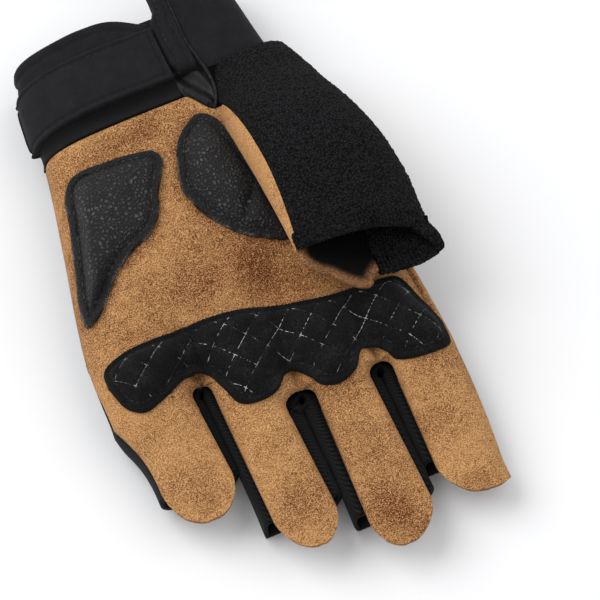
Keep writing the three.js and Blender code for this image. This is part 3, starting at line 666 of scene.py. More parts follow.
@dataclass(frozen=True)
class GrainedLeather(Finish):
    """Drum-dyed leather plated with a pebble grain: small rounded cells with creases between."""

    fibre: str = "#8d8a84"
    wear: Grain = Grain(4.0, 4.0, 0.38, 0.7)
    patches: Grain = Grain(7.0, 1.0, 0.42, 0.6)
    lint: Grain = Grain(0.5, 2.0, 0.4, 0.6)
    fine_size: float = 0.4
    wander_size: float = 1.3
    wander: float = 1.6
    polished: float = 0.75

    def look(self, tree: bpy.types.NodeTree, place: bpy.types.NodeSocket) -> Look:
        """Pebbles cut by creases that are painted dark as shade, their tops lighter as painted highlight, a
        random lighter wear, and a frayed cut edge.
        """
        inputs = {"Vector": place, "Scale": 1 / self.wander_size, "Detail": 3.0}
        shift = add_node(tree, "TexNoise", {}, inputs)
        inputs = {0: shift.outputs[1], 1: (self.wander,) * 3, 2: place}
        nudged = add_node(tree, "VectorMath", MULTIPLY_ADD, inputs).outputs[0]
        inputs = {"Vector": nudged, "Scale": 1 / self.grain, "Randomness": 1.0}
        cells = add_node(tree, "TexVoronoi", {"feature": "DISTANCE_TO_EDGE"}, inputs).outputs[0]
        # Painted light: the pebble tone darkens the creases as shade and lightens the tops as highlight.
        span = {"Value": cells, "From Min": 0.0, "From Max": 0.34}
        pebble = add_node(tree, "MapRange", SMOOTH, span).outputs[0]
        inputs = {"Vector": place, "Scale": 1 / self.fine_size, "Detail": 3.0, "Roughness": NOISE_ROUGHNESS}
        fine = add_node(tree, "TexNoise", {}, inputs).outputs[0]
        worn = self.grains(tree, place, self.wear)
        lighter = add_node(tree, "Math", MULTIPLY_ADD, {0: worn, 1: 0.7, 2: 0.5}).outputs[0]
        tone = add_node(tree, "Math", MULTIPLY, {0: pebble, 1: lighter}).outputs[0]
        border = add_node(tree, "Attribute", {"attribute_name": "border"}).outputs["Fac"]
        span = {"Value": border, "From Min": 1.3, "From Max": 0.0}
        inner = add_node(tree, "MapRange", SMOOTH, span).outputs[0]
        tone = add_node(tree, "Math", MULTIPLY, {0: tone, 1: inner}).outputs[0]
        mix = {SHARE: tone, FIRST: linear(self.shade), SECOND: linear(self.base)}
        colour = add_node(tree, "Mix", COLOURS, mix).outputs[MIXED]
        patch = self.grains(tree, place, self.patches)
        lint = self.grains(tree, place, self.lint)
        flock = add_node(tree, "Math", MULTIPLY, {0: lint, 1: patch}).outputs[0]
        frayed = add_node(tree, "Attribute", {"attribute_name": "fray"}).outputs["Fac"]
        fringe = add_node(tree, "Math", MULTIPLY, {0: frayed, 1: flock}).outputs[0]
        mix = {SHARE: fringe, FIRST: colour, SECOND: linear(self.fibre)}
        colour = add_node(tree, "Mix", COLOURS, mix).outputs[MIXED]
        height = add_node(tree, "Math", MULTIPLY_ADD, {0: fine, 1: 0.35, 2: pebble}).outputs[0]
        inputs = {"Value": tone, "To Min": self.polished, "To Max": self.roughness}
        return Look(colour, height, add_node(tree, "MapRange", {}, inputs).outputs[0])


@dataclass(frozen=True)
class BrushedCloth(Finish):
    """Cloth with a raised, cropped nap: matte, with a faint lint that catches the light."""

    rubs: Grain = Grain(6.0, 3.0, 0.4, 0.75)

    def look(self, tree: bpy.types.NodeTree, place: bpy.types.NodeSocket) -> Look:
        """Tufts of nap, lighter here and there where they are rubbed."""
        tuft = self.grains(tree, place, Grain(self.grain, 3.0, 0.3, 0.72))
        rub = add_node(tree, "Math", ADD, {0: self.grains(tree, place, self.rubs), 1: 0.4}).outputs[0]
        tone = add_node(tree, "Math", MULTIPLY, {0: tuft, 1: rub}).outputs[0]
        mix = {SHARE: tone, FIRST: linear(self.shade), SECOND: linear(self.base)}
        return Look(add_node(tree, "Mix", COLOURS, mix).outputs[MIXED], tuft)


@dataclass(frozen=True)
class Towelling(Finish):
    """Looped pile: round loops packed close, with dark gaps between them."""

    fibres: Grain = Grain(0.3, 2.0, 0.2, 0.7)

    def look(self, tree: bpy.types.NodeTree, place: bpy.types.NodeSocket) -> Look:
        """Loops a little over half a millimetre across, each a little different."""
        inputs = {"Vector": place, "Scale": 1 / self.grain, "Smoothness": 0.35, "Randomness": 0.9}
        loops = add_node(tree, "TexVoronoi", {"feature": "SMOOTH_F1"}, inputs).outputs["Distance"]
        span = {"Value": loops, "From Min": 0.75, "From Max": 0.05}
        round_top = add_node(tree, "MapRange", SMOOTH, span).outputs[0]
        inputs = {"Vector": place, "Scale": 1 / self.fibres.size, "Detail": 2.0, "Roughness": NOISE_ROUGHNESS}
        fuzz = add_node(tree, "TexNoise", {}, inputs).outputs[0]
        fibre = self.grains(tree, place, self.fibres)
        tone = add_node(tree, "Math", MULTIPLY, {0: round_top, 1: fibre}).outputs[0]
        mix = {SHARE: tone, FIRST: linear(self.shade), SECOND: linear(self.base)}
        colour = add_node(tree, "Mix", COLOURS, mix).outputs[MIXED]
        return Look(colour, add_node(tree, "Math", MULTIPLY_ADD, {0: fuzz, 1: 0.3, 2: round_top}).outputs[0])


@dataclass(frozen=True)
class Ribbed(Finish):
    """A woven or knitted cloth with ribs that run at an angle over the piece's own UV map."""

    angle: float = 60.0
    yarns: Grain = Grain(0.3, 2.0, 0.1, 0.75)
    wander_size: float = 2.5
    wander: float = 0.5

    def look(self, tree: bpy.types.NodeTree, place: bpy.types.NodeSocket) -> Look:
        """Ribs of the weave, with the yarn's own unevenness."""
        turn = math.radians(self.angle)
        wave = 2 * math.pi / self.grain
        across = (math.cos(turn) * wave, math.sin(turn) * wave, 0)
        inputs = {0: place, 1: across}
        along = add_node(tree, "VectorMath", {"operation": "DOT_PRODUCT"}, inputs).outputs["Value"]
        inputs = {"Vector": place, "Scale": 1 / self.wander_size, "Detail": 2.0, "Roughness": NOISE_ROUGHNESS}
        drift = add_node(tree, "TexNoise", {}, inputs).outputs[0]
        phase = add_node(tree, "Math", MULTIPLY_ADD, {0: drift, 1: self.wander, 2: along}).outputs[0]
        swing = add_node(tree, "Math", SINE, {0: phase}).outputs[0]
        span = {"Value": swing, "From Min": -0.8, "From Max": 1.0}
        rib = add_node(tree, "MapRange", SMOOTH, span).outputs[0]
        inputs = {"Vector": place, "Scale": 1 / self.yarns.size, "Detail": 2.0, "Roughness": NOISE_ROUGHNESS}
        fuzz = add_node(tree, "TexNoise", {}, inputs).outputs[0]
        yarn = self.grains(tree, place, self.yarns)
        tone = add_node(tree, "Math", MULTIPLY, {0: rib, 1: yarn}).outputs[0]
        mix = {SHARE: tone, FIRST: linear(self.shade), SECOND: linear(self.base)}
        colour = add_node(tree, "Mix", COLOURS, mix).outputs[MIXED]
        return Look(colour, add_node(tree, "Math", MULTIPLY_ADD, {0: fuzz, 1: 0.4, 2: rib}).outputs[0])


@dataclass(frozen=True)
class StretchKnit(Finish):
    """Smooth fine-gauge knit: tiny even stitches and a slight bloom."""

    # Near-black colour of painted shadow, laid where a piece's mark says.
    painted_shadow: str = "#020202"
    clouds: Grain = Grain(4.0, 4.0, 0.3, 0.7)
    fibres: Grain = Grain(0.5, 2.0, 0.2, 0.8)
    course_pitch: float = 0.8

    def look(self, tree: bpy.types.NodeTree, place: bpy.types.NodeSocket) -> Look:
        """Fine wales and courses, drawn coarser than the real 0.3 mm gauge so that they show."""
        x, y, z = add_node(tree, "SeparateXYZ", {}, {0: place}).outputs
        wave = 2 * math.pi / self.grain
        side = add_node(tree, "Math", ADD, {0: y, 1: z}).outputs[0]
        waves = []
        for run, rate in ((x, wave), (side, wave * self.course_pitch)):
            phase = add_node(tree, "Math", MULTIPLY, {0: run, 1: rate}).outputs[0]
            waves.append(add_node(tree, "Math", SINE, {0: phase}).outputs[0])
        grid = add_node(tree, "Math", MULTIPLY, {0: waves[0], 1: waves[1]}).outputs[0]
        span = {"Value": grid, "From Min": -1.0, "From Max": 1.0}
        stitch = add_node(tree, "MapRange", SMOOTH, span).outputs[0]
        cloud = self.grains(tree, place, self.clouds)
        inputs = {"Vector": place, "Scale": 1 / self.fibres.size, "Detail": 2.0, "Roughness": NOISE_ROUGHNESS}
        fuzz = add_node(tree, "TexNoise", {}, inputs).outputs[0]
        fibre = self.grains(tree, place, self.fibres)
        tone = add_node(tree, "Math", MULTIPLY, {0: cloud, 1: fibre}).outputs[0]
        mix = {SHARE: tone, FIRST: linear(self.shade), SECOND: linear(self.base)}
        colour = add_node(tree, "Mix", COLOURS, mix).outputs[MIXED]
        # Painted shadow: where a piece carries the mark, the knit darkens to near black, as below the strap.
        painted_shade_and_wear = add_node(tree, "Attribute", {"attribute_name": "painted_shade_and_wear"}).outputs["Fac"]
        mix = {SHARE: painted_shade_and_wear, FIRST: colour, SECOND: linear(self.painted_shadow)}
        colour = add_node(tree, "Mix", COLOURS, mix).outputs[MIXED]
        return Look(colour, add_node(tree, "Math", ADD, {0: stitch, 1: fuzz}).outputs[0])


@dataclass(frozen=True)
class Yarn(Finish):
    """Sewing thread and cord: twisted strands, paler where they catch the light."""

    strand: float = 0.2

    def look(self, tree: bpy.types.NodeTree, place: bpy.types.NodeSocket) -> Look:
        """Uneven tone along the thread."""
        tone = self.grains(tree, place, Grain(self.grain, 3.0, 0.36, 0.64))
        mix = {SHARE: tone, FIRST: linear(self.shade), SECOND: linear(self.base)}
        colour = add_node(tree, "Mix", COLOURS, mix).outputs[MIXED]
        inputs = {"Vector": place, "Scale": 1 / self.strand, "Detail": 1.0, "Roughness": NOISE_ROUGHNESS}
        return Look(colour, add_node(tree, "TexNoise", {}, inputs).outputs[0])


@dataclass(frozen=True)
class Tabletop(Finish):
    """Matt white laminate: almost even, with the faintest unevenness."""

    def look(self, tree: bpy.types.NodeTree, place: bpy.types.NodeSocket) -> Look:
        """A barely visible cloudiness."""
        inputs = {"Vector": place, "Scale": 1 / self.grain, "Detail": 2.0, "Roughness": NOISE_ROUGHNESS}
        tone = add_node(tree, "TexNoise", {}, inputs).outputs[0]
        mix = {SHARE: tone, FIRST: linear(self.base), SECOND: linear(self.shade)}
        return Look(add_node(tree, "Mix", COLOURS, mix).outputs[MIXED], tone)


SUEDE = Suede(
    "tan_suede", "suede", "#d0985f", "#7c4016",
    grain=0.34, relief=0.2, roughness=0.95, sheen=0.12, sheen_tint="#e8c79c",
)
RAW_SUEDE = Suede(
    "raw_suede_edge", "suede", "#a47749", "#6f4622",
    grain=0.4, relief=0.25, roughness=0.95, sheen=0.1, sheen_tint="#e8c79c",
)
# The lining's near-black cavity colour is painted shadow inside the thumb.
LINING = Suede(
    "suede_lining", "suede", "#8f6544", "#5c3a1a",
    grain=0.5, relief=0.3, roughness=0.95, speckle="#b98a60", cavity_shadow="#050505",
)
LEATHER = GrainedLeather(
    "pebbled_leather", "grained_leather", "#434346", "#020202",
    grain=1.15, relief=0.8, roughness=0.28, gloss=0.5,
)
QUILT = BrushedCloth(
    "brushed_quilt_cloth", "quilted_cloth", "#242425", "#0a0a0b",
    grain=0.5, relief=0.12, roughness=0.95, sheen=0.05, sheen_tint="#8f8f94",
)
TERRY = Towelling(
    "looped_towelling", "towelling", "#363638", "#030304",
    grain=0.6, relief=0.6, roughness=0.95, sheen=0.04, sheen_tint="#77777c",
)
TWILL = Ribbed(
    "gusset_twill", "twill", "#202022", "#070708",
    grain=0.55, relief=0.1, roughness=0.8, sheen=0.05, sheen_tint="#8f8f94", follows_surface=True,
)
KNIT = StretchKnit(
    "fine_stretch_knit", "stretch_knit", "#212123", "#161618",
    grain=0.6, relief=0.05, roughness=0.85, sheen=0.06, sheen_tint="#8f8f94",
)
STRAP = StretchKnit(
    "laminated_strap_cloth", "strap_cloth", "#202022", "#161618",
    grain=0.5, relief=0.04, roughness=0.78, sheen=0.06, sheen_tint="#8f8f94",
)
SATIN = StretchKnit(
    "gusset_satin", "satin", "#1b1b1d", "#0a0a0b",
    grain=0.35, relief=0.03, roughness=0.5, sheen=0.02, sheen_tint="#a5a5ab", gloss=0.3,
)
PIPING = Yarn(
    "corded_piping", "piping", "#2a2a2c", "#19191b",
    grain=1.2, relief=0.08, roughness=0.7, sheen=0.08, sheen_tint="#a5a5ab",
)
DARK_THREAD = Yarn(
    "black_thread", "stretch_knit", "#363639", "#0e0e0f", grain=3.0, relief=0.05, roughness=0.6
)
BORDER_THREAD = Yarn(
    "border_thread", "grained_leather", "#4c4c4c", "#0a0a0b", grain=4.0, relief=0.05, roughness=0.6
)
QUILT_THREAD = Yarn(
    "quilting_thread", "quilted_cloth", "#c6c6c6", "#222223", grain=8.0, relief=0.04, roughness=0.55
)
TABLETOP = Tabletop("white_tabletop", "", "#f4f4f4", "#f2f2f2", grain=300.0, relief=0.0, roughness=0.9)


# Meshes


def cloth_grid(
    bm: bmesh.types.BMesh,
    point: Point,
    across: int,
    along: int,
    uv: Callable[[float, float], tuple[float, float]] | None = None,
) -> list[bmesh.types.BMVert]:
    """Lays a grid over a surface. Its front faces up when u runs along +X and v along -Y.

    Args:
        bm: the mesh that gets the grid.
        point: the surface, as a function of u and v from 0 to 1.
        across: steps of u.
        along: steps of v.
        uv: the piece's own map in millimetres, as a function of u and v.

    Returns:
        The grid's vertices.
    """
    verts = bmesh.ops.create_grid(bm, x_segments=across, y_segments=along, size=0.5)["verts"]
    shares = {v: (clamp(v.co.x + 0.5), clamp(0.5 - v.co.y)) for v in verts}
    if uv is not None:
        layer = bm.loops.layers.uv.verify()
        for vert, share in shares.items():
            for loop in vert.link_loops:
                loop[layer].uv = uv(*share)
    for vert, share in shares.items():
        vert.co = point(*share)
    return verts


def weld(bm: bmesh.types.BMesh, reach: float = 0.01) -> None:
    """Merges vertices that lie within reach of each other."""
    bmesh.ops.remove_doubles(bm, verts=bm.verts, dist=reach)
    flat = [f for f in bm.faces if f.calc_area() < 1e-7]
    bmesh.ops.delete(bm, geom=flat, context="FACES_ONLY")


def roughen(bm: bmesh.types.BMesh, height: Callable[[Vector], float]) -> None:
    """Moves every vertex along its normal by a height that depends on its place."""
    bm.normal_update()
    moves = [(v, v.normal * height(v.co)) for v in bm.verts]
    for vert, move in moves:
        vert.co += move


def raise_from(bm: bmesh.types.BMesh, top: Callable[[Vector], Vector]) -> None:
    """Makes a closed body of an open sheet, whose copy is moved to the top."""
    made = bmesh.ops.extrude_face_region(bm, geom=bm.faces[:])["geom"]
    lifted = {v for v in made if isinstance(v, bmesh.types.BMVert)}
    for vert in lifted:
        vert.co = top(vert.co)
    bmesh.ops.recalc_face_normals(bm, faces=bm.faces)


def drop_faces(bm: bmesh.types.BMesh, unwanted: Callable[[Vector], bool]) -> None:
    """Deletes the faces whose middle is unwanted."""
    gone = [f for f in bm.faces if unwanted(f.calc_center_median())]
    bmesh.ops.delete(bm, geom=gone, context="FACES")


def mark(bm: bmesh.types.BMesh, name: str, value: Callable[[Vector], float]) -> None:
    """Stores a number at every vertex, for the material to read."""
    layer = bm.verts.layers.float.new(name)
    for vert in bm.verts:
        vert[layer] = value(vert.co)


def ripple(point: Vector, size: float, seed: float = 0.0) -> float:
    """Smooth noise between about -1 and 1, with hills of that size."""
    return noise.noise(Vector((point.x / size + seed, point.y / size - seed, point.z / size)))


def tube(
    bm: bmesh.types.BMesh, path: Callable[[float], Vector], radius: float, along: int, around: int = 14
) -> None:
    """A round cord with closed ends along a path.

    Args:
        bm: the mesh that gets it.
        path: the middle line, by its share.
        radius: the cord's radius.
        along: steps along it.
        around: steps round it.
    """

    def point(u: float, v: float) -> Vector:
        """A point of the cord's skin, drawn in at both ends."""
        here = path(v)
        ahead = (path(min(v + 0.01, 1)) - path(max(v - 0.01, 0))).normalized()
        side = ahead.cross(Vector((0, 0, 1))).normalized()
        slim = math.sqrt(clamp(1 - max(abs(2 * v - 1) * along - along + 2, 0) ** 2 / 4))
        turn = 2 * math.pi * u
        return here + (side * math.cos(turn) + side.cross(ahead) * math.sin(turn)) * radius * max(slim, 0.05)

    cloth_grid(bm, point, around, along, lambda u, v: (u * 6 * radius, v * along))
    weld(bm, 0.02)
    rims = [e for e in bm.edges if e.is_boundary]
    bmesh.ops.holes_fill(bm, edges=rims, sides=0)
    bmesh.ops.recalc_face_normals(bm, faces=bm.faces)


@dataclass
class Piece:
    """A finished piece of the glove and how it goes into the scene."""

    name: str
    finishes: tuple[Finish, ...]
    replaces: tuple[str, ...] = ()
    thickness: float = 0.0
    lined: bool = False

    def publish(self, bm: bmesh.types.BMesh) -> bpy.types.Object:
        """Turns the bmesh to a dressed object that rides on the glove.

        Args:
            bm: the piece's mesh in millimetres, freed here.

        Returns:
            The object, with its thickness as a modifier if it has one.
        """
        bmesh.ops.transform(bm, matrix=FRAME, verts=bm.verts)
        mesh = bpy.data.meshes.new(self.name)
        bm.to_mesh(mesh)
        bm.free()
        for finish in self.finishes:
            mesh.materials.append(finish.material())
        mesh.polygons.foreach_set("use_smooth", [True] * len(mesh.polygons))
        made = bpy.data.objects.new(self.name, mesh)
        bpy.context.scene.collection.objects.link(made)
        if self.thickness:
            wall = made.modifiers.new("wall", "SOLIDIFY")
            wall.thickness = self.thickness * MM
            wall.offset = -1
            if self.lined:
                wall.material_offset = 1
                wall.material_offset_rim = 1
        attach(made, ROOT)
        if self.replaces:
            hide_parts(*self.replaces)
        log.info("%s: %d faces", self.name, len(mesh.polygons))
        return made


@dataclass
class StitchRow:
    """A row of stitches, each a small swollen bead of thread lying along the row."""

    pitch: float = 2.4
    length: float = 1.9
    radius: float = 0.2
    sink: float = 0.05

    def sew(
        self,
        bm: bmesh.types.BMesh,
        path: Callable[[float], Vector],
        length: float,
        up: Callable[[Vector], Vector],
    ) -> None:
        """Adds the stitches of one row.

        Args:
            bm: the mesh that gets them.
            path: the row, by its share.
            length: the row's length in millimetres.
            up: the cloth's normal at a point.
        """
        count = max(1, round(length / self.pitch))
        half = 0.5 * self.length / length
        for k in range(count):
            share = (k + 0.5) / count
            start, end = path(clamp(share - half)), path(clamp(share + half))
            ahead = (end - start).normalized()
            normal = up((start + end) / 2)
            side = normal.cross(ahead).normalized()
            normal = ahead.cross(side)
            turn = Matrix((ahead, side, normal)).transposed().to_4x4()
            size = Matrix.Diagonal((0.5 * (end - start).length, self.radius, self.radius, 1))
            where = Matrix.Translation((start + end) / 2 - normal * self.sink)
            bmesh.ops.create_icosphere(bm, subdivisions=1, radius=1, matrix=where @ turn @ size)


def surface_normal(height: Callable[[float, float], float], point: Vector) -> Vector:
    """The upward normal of a height field at a point."""
    step = 0.6
    dx = height(point.x + step, point.y) - height(point.x - step, point.y)
    dy = height(point.x, point.y + step) - height(point.x, point.y - step)
    return Vector((-dx, -dy, 2 * step)).normalized()


def declare_sheet(
    piece: bpy.types.Object, width: float, length: float, area: float, rests: Sequence[str]
) -> None:
    """Takes a panel that was cut flat as a sheet, with its sizes in millimetres, but records nothing."""
    list(rests)


# Sub-assemblies


@dataclass
class PalmPanel:
    """The suede palm with its four finger fronts that end in rounded tabs."""

    thickness: float = 1.3
    wrist_y: float = 66
    vent_left: float = 0.575
    vent_right: float = 0.66
    vent_corner: float = 59.4
    tab_angle: float = 80
    cell: float = 0.8
    fold_width: float = 2.5
    fold_y: tuple[float, float] = (-30, 12)
    fold_rise: float = 1.1
    calm_reach: float = 7.5
    calm_rounds: int = 14
    # Darker pools of the palm's suede: some are worn nap, and those along the pads and the bar, by the thumb
    # and below the cuff are painted shade.
    pools: tuple[Dent, ...] = (
        Dent(-26, 60.5, 16, 4.5, 0.45),
        Dent(-16, 28, 5, 7, 0.25),
        Dent(-8.2, 11.3, 5, 9, 0.62),
        Dent(-20, 14, 22, 14, 0.3),
        Dent(6, 4, 14, 6, 0.35),
        Dent(20, 2, 12, 5, 0.3),
        Dent(0, -66, 8, 12, 0.42),
        Dent(-23, -52, 8, 12, 0.16),
        Dent(22, -38, 9, 14, 0.16),
        Dent(-1, -29, 6, 3, 0.3),
    )
    cut: tuple[float, float, float] = (100, 142, 11600)

    def wrist(self, share: float) -> float:
        """The leather's wrist edge, with its corner cut away beside the thumb."""
        cut = smoothstep(share, self.vent_left, self.vent_right)
        return self.wrist_y - (self.wrist_y - self.vent_corner) * cut

    def tab(self, j: int, u: float, v: float) -> tuple[float, float]:
        """Plan of the rounded end of finger j."""
        finger = FORM.fingers[j]
        angle = math.radians(self.tab_angle) * v
        start = FORM.finger_edge(j, Side.LEFT, finger.tab_y + finger.lean)
        end = FORM.finger_edge(j, Side.RIGHT, finger.tab_y - finger.lean)
        left = lerp(finger.tip_x, start, math.cos(angle))
        right = lerp(finger.tip_x, end, math.cos(angle))
        begins = finger.tab_y + finger.lean * (1 - 2 * u)
        return lerp(left, right, u), lerp(begins, finger.tab_y - finger.reach, math.sin(angle))

    def face(self, x: float, y: float, j: int | None = None) -> Vector:
        """A point of the leather's face, with the soft unevenness of a worn hide."""
        z = FORM.palm_z(x, y, j)
        here = Vector((x, y, 0))
        away = FORM.outer_edge(Side.RIGHT, y) - x
        swell = math.sqrt(clamp(1 - (away / self.fold_width - 0.5) ** 2 * 4))
        ridge = swell - 0.5 * bump_at(away - self.fold_width, 0.5)
        z += self.fold_rise * ridge * self.in_fold(y)
        return Vector((x, y, z + 0.18 * ripple(here, 13, 3) + 0.05 * ripple(here, 3.5, 8)))

    def in_fold(self, y: float) -> float:
        """How much of the sewn fold at the thumb's side is left at y."""
        return smoothstep(y, self.fold_y[0], self.fold_y[0] + 5) * smoothstep(self.fold_y[1] - y, 0, 5)

    def shade(self, point: Vector) -> float:
        """How much darker the palm's suede is painted: painted shade in its creases and hollows, beside the
        pads and along the thumb's fold, and worn pools.
        """
        spots = sum(pool.at(point.x, point.y) for pool in self.pools)
        # Painted shade: darker beside the pads' edges and in the groove next to the sewn fold.
        beside = min(HEEL_PAD.curve.away(point.x, point.y), THENAR_PAD.curve.away(point.x, point.y))
        fold = FORM.outer_edge(Side.RIGHT, point.y) - point.x - self.fold_width - 0.3
        crease = 0.9 * bump_at(fold, 0.6) * self.in_fold(point.y)
        return 1.35 * spots + 0.25 * bump_at(beside, 1.8) + crease - 0.15

    def calm(self, bm: bmesh.types.BMesh) -> None:
        """Evens out the leather round the crotches, where it is stretched from finger to finger."""
        for x, y in FORM.crotches:
            near = [v for v in bm.verts if math.hypot(v.co.x - x, v.co.y - y) < self.calm_reach]
            for _ in range(self.calm_rounds):
                bmesh.ops.smooth_vert(bm, verts=near, factor=0.5, use_axis_z=True)

    def build(self) -> None:
        """Makes the palm, open where the thumb leaves it."""
        bm = bmesh.new()
        for j, finger in enumerate(FORM.fingers):
            wide = round(26 / self.cell)
            cloth_grid(
                bm,
                lambda u, v, j=j: self.face(*FORM.hand_plan(j, crowd(u), v, self.wrist)),
                wide,
                round(90 / self.cell),
            )
            cloth_grid(
                bm,
                lambda u, v, j=j, f=finger: self.face(
                    *FORM.finger_plan(j, crowd(u), v, f.tab_y, 0, f.lean), j
                ),
                wide,
                round(38 / self.cell),
            )
            cloth_grid(bm, lambda u, v, j=j: self.face(*self.tab(j, crowd(u), v), j), wide, 18)
        weld(bm)
        drop_faces(bm, lambda p: FORM.in_thumb(p, 1.0))
        self.calm(bm)
        # The mark paints shade, with some wear, into the suede's colour.
        mark(bm, "painted_shade_and_wear", self.shade)
        palm = Piece("palm", (SUEDE, RAW_SUEDE), ("palm_panel",), self.thickness, lined=True).publish(bm)
        declare_sheet(palm, *self.cut, ["back"])


@dataclass
class HandBack:
    """The stretch back of the hand and fingers, flat on the table and curled up at both sides."""

    thickness: float = 1.2
    left_end: float = 98.5
    right_end: float = 108
    curl: float = 8
    bulge: float = 2.1
    seam_drop: float = 0.1
    inset: float = 0.9
    cut: tuple[float, float, float] = (120, 176, 17000)

    def wrist(self, share: float) -> float:
        """The open end of the cuff, longer on the thumb's side."""
        return lerp(self.left_end, self.right_end, smoothstep(share, 0, 0.6))

    def side(self, side: Side, turn: float, y: float) -> Vector:
        """A point of the curled side, from the flat (turn 0) to the seam (turn 1)."""
        angle = math.pi / 2 * turn
        edge = FORM.outer_edge(side, y)
        is_left = side is Side.LEFT
        below = y < (FORM.outer_left_root if is_left else FORM.outer_right_root)
        top = FORM.palm_z(edge, y, (0 if is_left else 3) if below else None) - self.seam_drop
        inward = self.curl * (1 - math.cos(angle)) * (1 if is_left else -1)
        if is_left:
            inward -= self.bulge * smoothstep(-y, 10, 20) * math.sin(math.pi * turn)
        return Vector((edge + inward, y, top * (1 - math.sin(angle))))

    def narrowed(self, j: int, u: float, v: float) -> Vector:
        """Plan of a finger's back, which reaches the gussets' feet."""
        finger = FORM.fingers[j]
        x, y = FORM.finger_plan(j, u, v, finger.end_y, self.curl)
        middle = (FORM.finger_edge(j, Side.LEFT, y) + FORM.finger_edge(j, Side.RIGHT, y)) / 2
        trim = self.inset * smoothstep(v, 0, 0.15)
        foot_right, foot_left = (foot * v**1.7 - trim for foot in Fourchettes.feet)
        inner_left = FORM.crotch_beside(j, Side.LEFT) is not None and x < middle
        inner_right = FORM.crotch_beside(j, Side.RIGHT) is not None and x > middle
        away = abs(2 * u - 1)
        return Vector((x + away * (inner_right * foot_right - inner_left * foot_left), y, 0))

    def build(self) -> None:
        """Makes the back in one sheet, with its outer face on the table."""
        bm = bmesh.new()
        ends = {
            Side.LEFT: (self.left_end, FORM.outer_left_root),
            Side.RIGHT: (self.right_end, FORM.outer_right_root),
        }
        for j in range(4):
            cloth_grid(
                bm,
                lambda u, v, j=j: Vector((*FORM.hand_plan(j, u, v, self.wrist, self.curl), 0)),
                8,
                54,
            )
            cloth_grid(bm, lambda u, v, j=j: self.narrowed(j, u, v), 8, 30)
        for side, (wrist, root) in ends.items():
            tip = FORM.fingers[0 if side is Side.LEFT else 3].end_y

            def turned(u: float, side: Side = side) -> float:
                """The share of the side's curl, counted so that its faces point the same way."""
                return u if side is Side.LEFT else 1 - u

            cloth_grid(
                bm,
                lambda u, v, s=side, w=wrist, r=root, t=turned: self.side(s, t(u), lerp(w, r, v)),
                16,
                54,
            )
            cloth_grid(
                bm,
                lambda u, v, s=side, r=root, e=tip, t=turned: self.side(s, t(u), lerp(r, e, v**1.7)),
                16,
                30,
            )
        weld(bm, 0.05)
        bmesh.ops.reverse_faces(bm, faces=bm.faces)
        back = Piece("back", (KNIT,), ("hand_back",), self.thickness).publish(bm)
        declare_sheet(back, *self.cut, ["tabletop"])


@dataclass
class Fourchettes:
    """The ribbed gussets between the fingers: each a wall in a U that bellies out in a roll."""

    thickness: float = 1.1
    roll: float = 4.8
    crown: float = 0.7
    feet: tuple[float, float] = (0.6, 2.4)
    foot_z: float = 0.25
    cut_width: float = 16
    cut_mean_width: float = 15
    names: tuple[str, ...] = ("little_ring", "ring_middle", "middle_index")

    def belly(self, share: float) -> float:
        """How far the wall bellies out at a share of its height from the leather down."""
        return math.sin(math.pi * clamp(share) ** 0.52) ** 0.8

    def point(self, j: int, s: float, w: float) -> Vector:
        """A point of gusset j, along its U and down from the leather."""
        k = j if s < 0.5 else j + 1
        side = Side.RIGHT if s < 0.5 else Side.LEFT
        crotch_y = FORM.crotches[j][1]

        def line(share: float) -> Vector:
            """A point of the U in plan, down one finger's side and up the next."""
            finger = j if share < 0.5 else j + 1
            edge = Side.RIGHT if share < 0.5 else Side.LEFT
            y = lerp(crotch_y, FORM.fingers[finger].end_y, abs(2 * share - 1) ** 1.7)
            return Vector((FORM.finger_edge(finger, edge, y), y, 0))

        here = line(s)
        ahead = (line(min(s + 0.01, 1)) - line(max(s - 0.01, 0))).normalized()
        gap = FORM.finger_edge(j + 1, Side.LEFT, here.y) - FORM.finger_edge(j, Side.RIGHT, here.y)
        top = FORM.palm_z(here.x, max(here.y, FORM.fingers[k].tab_y), k) - 0.7
        foot = self.feet[0] if side is Side.RIGHT else self.feet[1]
        reach = min(self.roll, 0.5 * abs(gap) + 0.4)
        share = clamp((crotch_y - here.y) / (crotch_y - FORM.fingers[k].tab_y))
        out = reach * self.belly(w) + foot * share * w * w - 0.35
        rise = self.crown * bump_at(w - 0.16, 0.12)
        crease = 0.12 * ripple(Vector((here.x, here.y, 20 * w)), 5, j)
        push = out + crease
        return Vector((here.x + ahead.y * push, here.y - ahead.x * push, lerp(top, self.foot_z, w) + rise))

    def build(self) -> None:
        """Makes the three gussets."""
        for j, name in enumerate(self.names):
            bm = bmesh.new()
            crotch_y = FORM.crotches[j][1]
            run = 2 * (crotch_y - FORM.fingers[j + 1].end_y)
            cloth_grid(
                bm,
                lambda u, v, j=j: self.point(j, u, v),
                150,
                30,
                lambda u, v, r=run: (r * u, 13 * v),
            )
            piece = Piece(f"gusset_{name}", (TWILL,), (f"fourchette_{name}",), self.thickness)
            declare_sheet(piece.publish(bm), run, self.cut_width, run * self.cut_mean_width, ["back"])


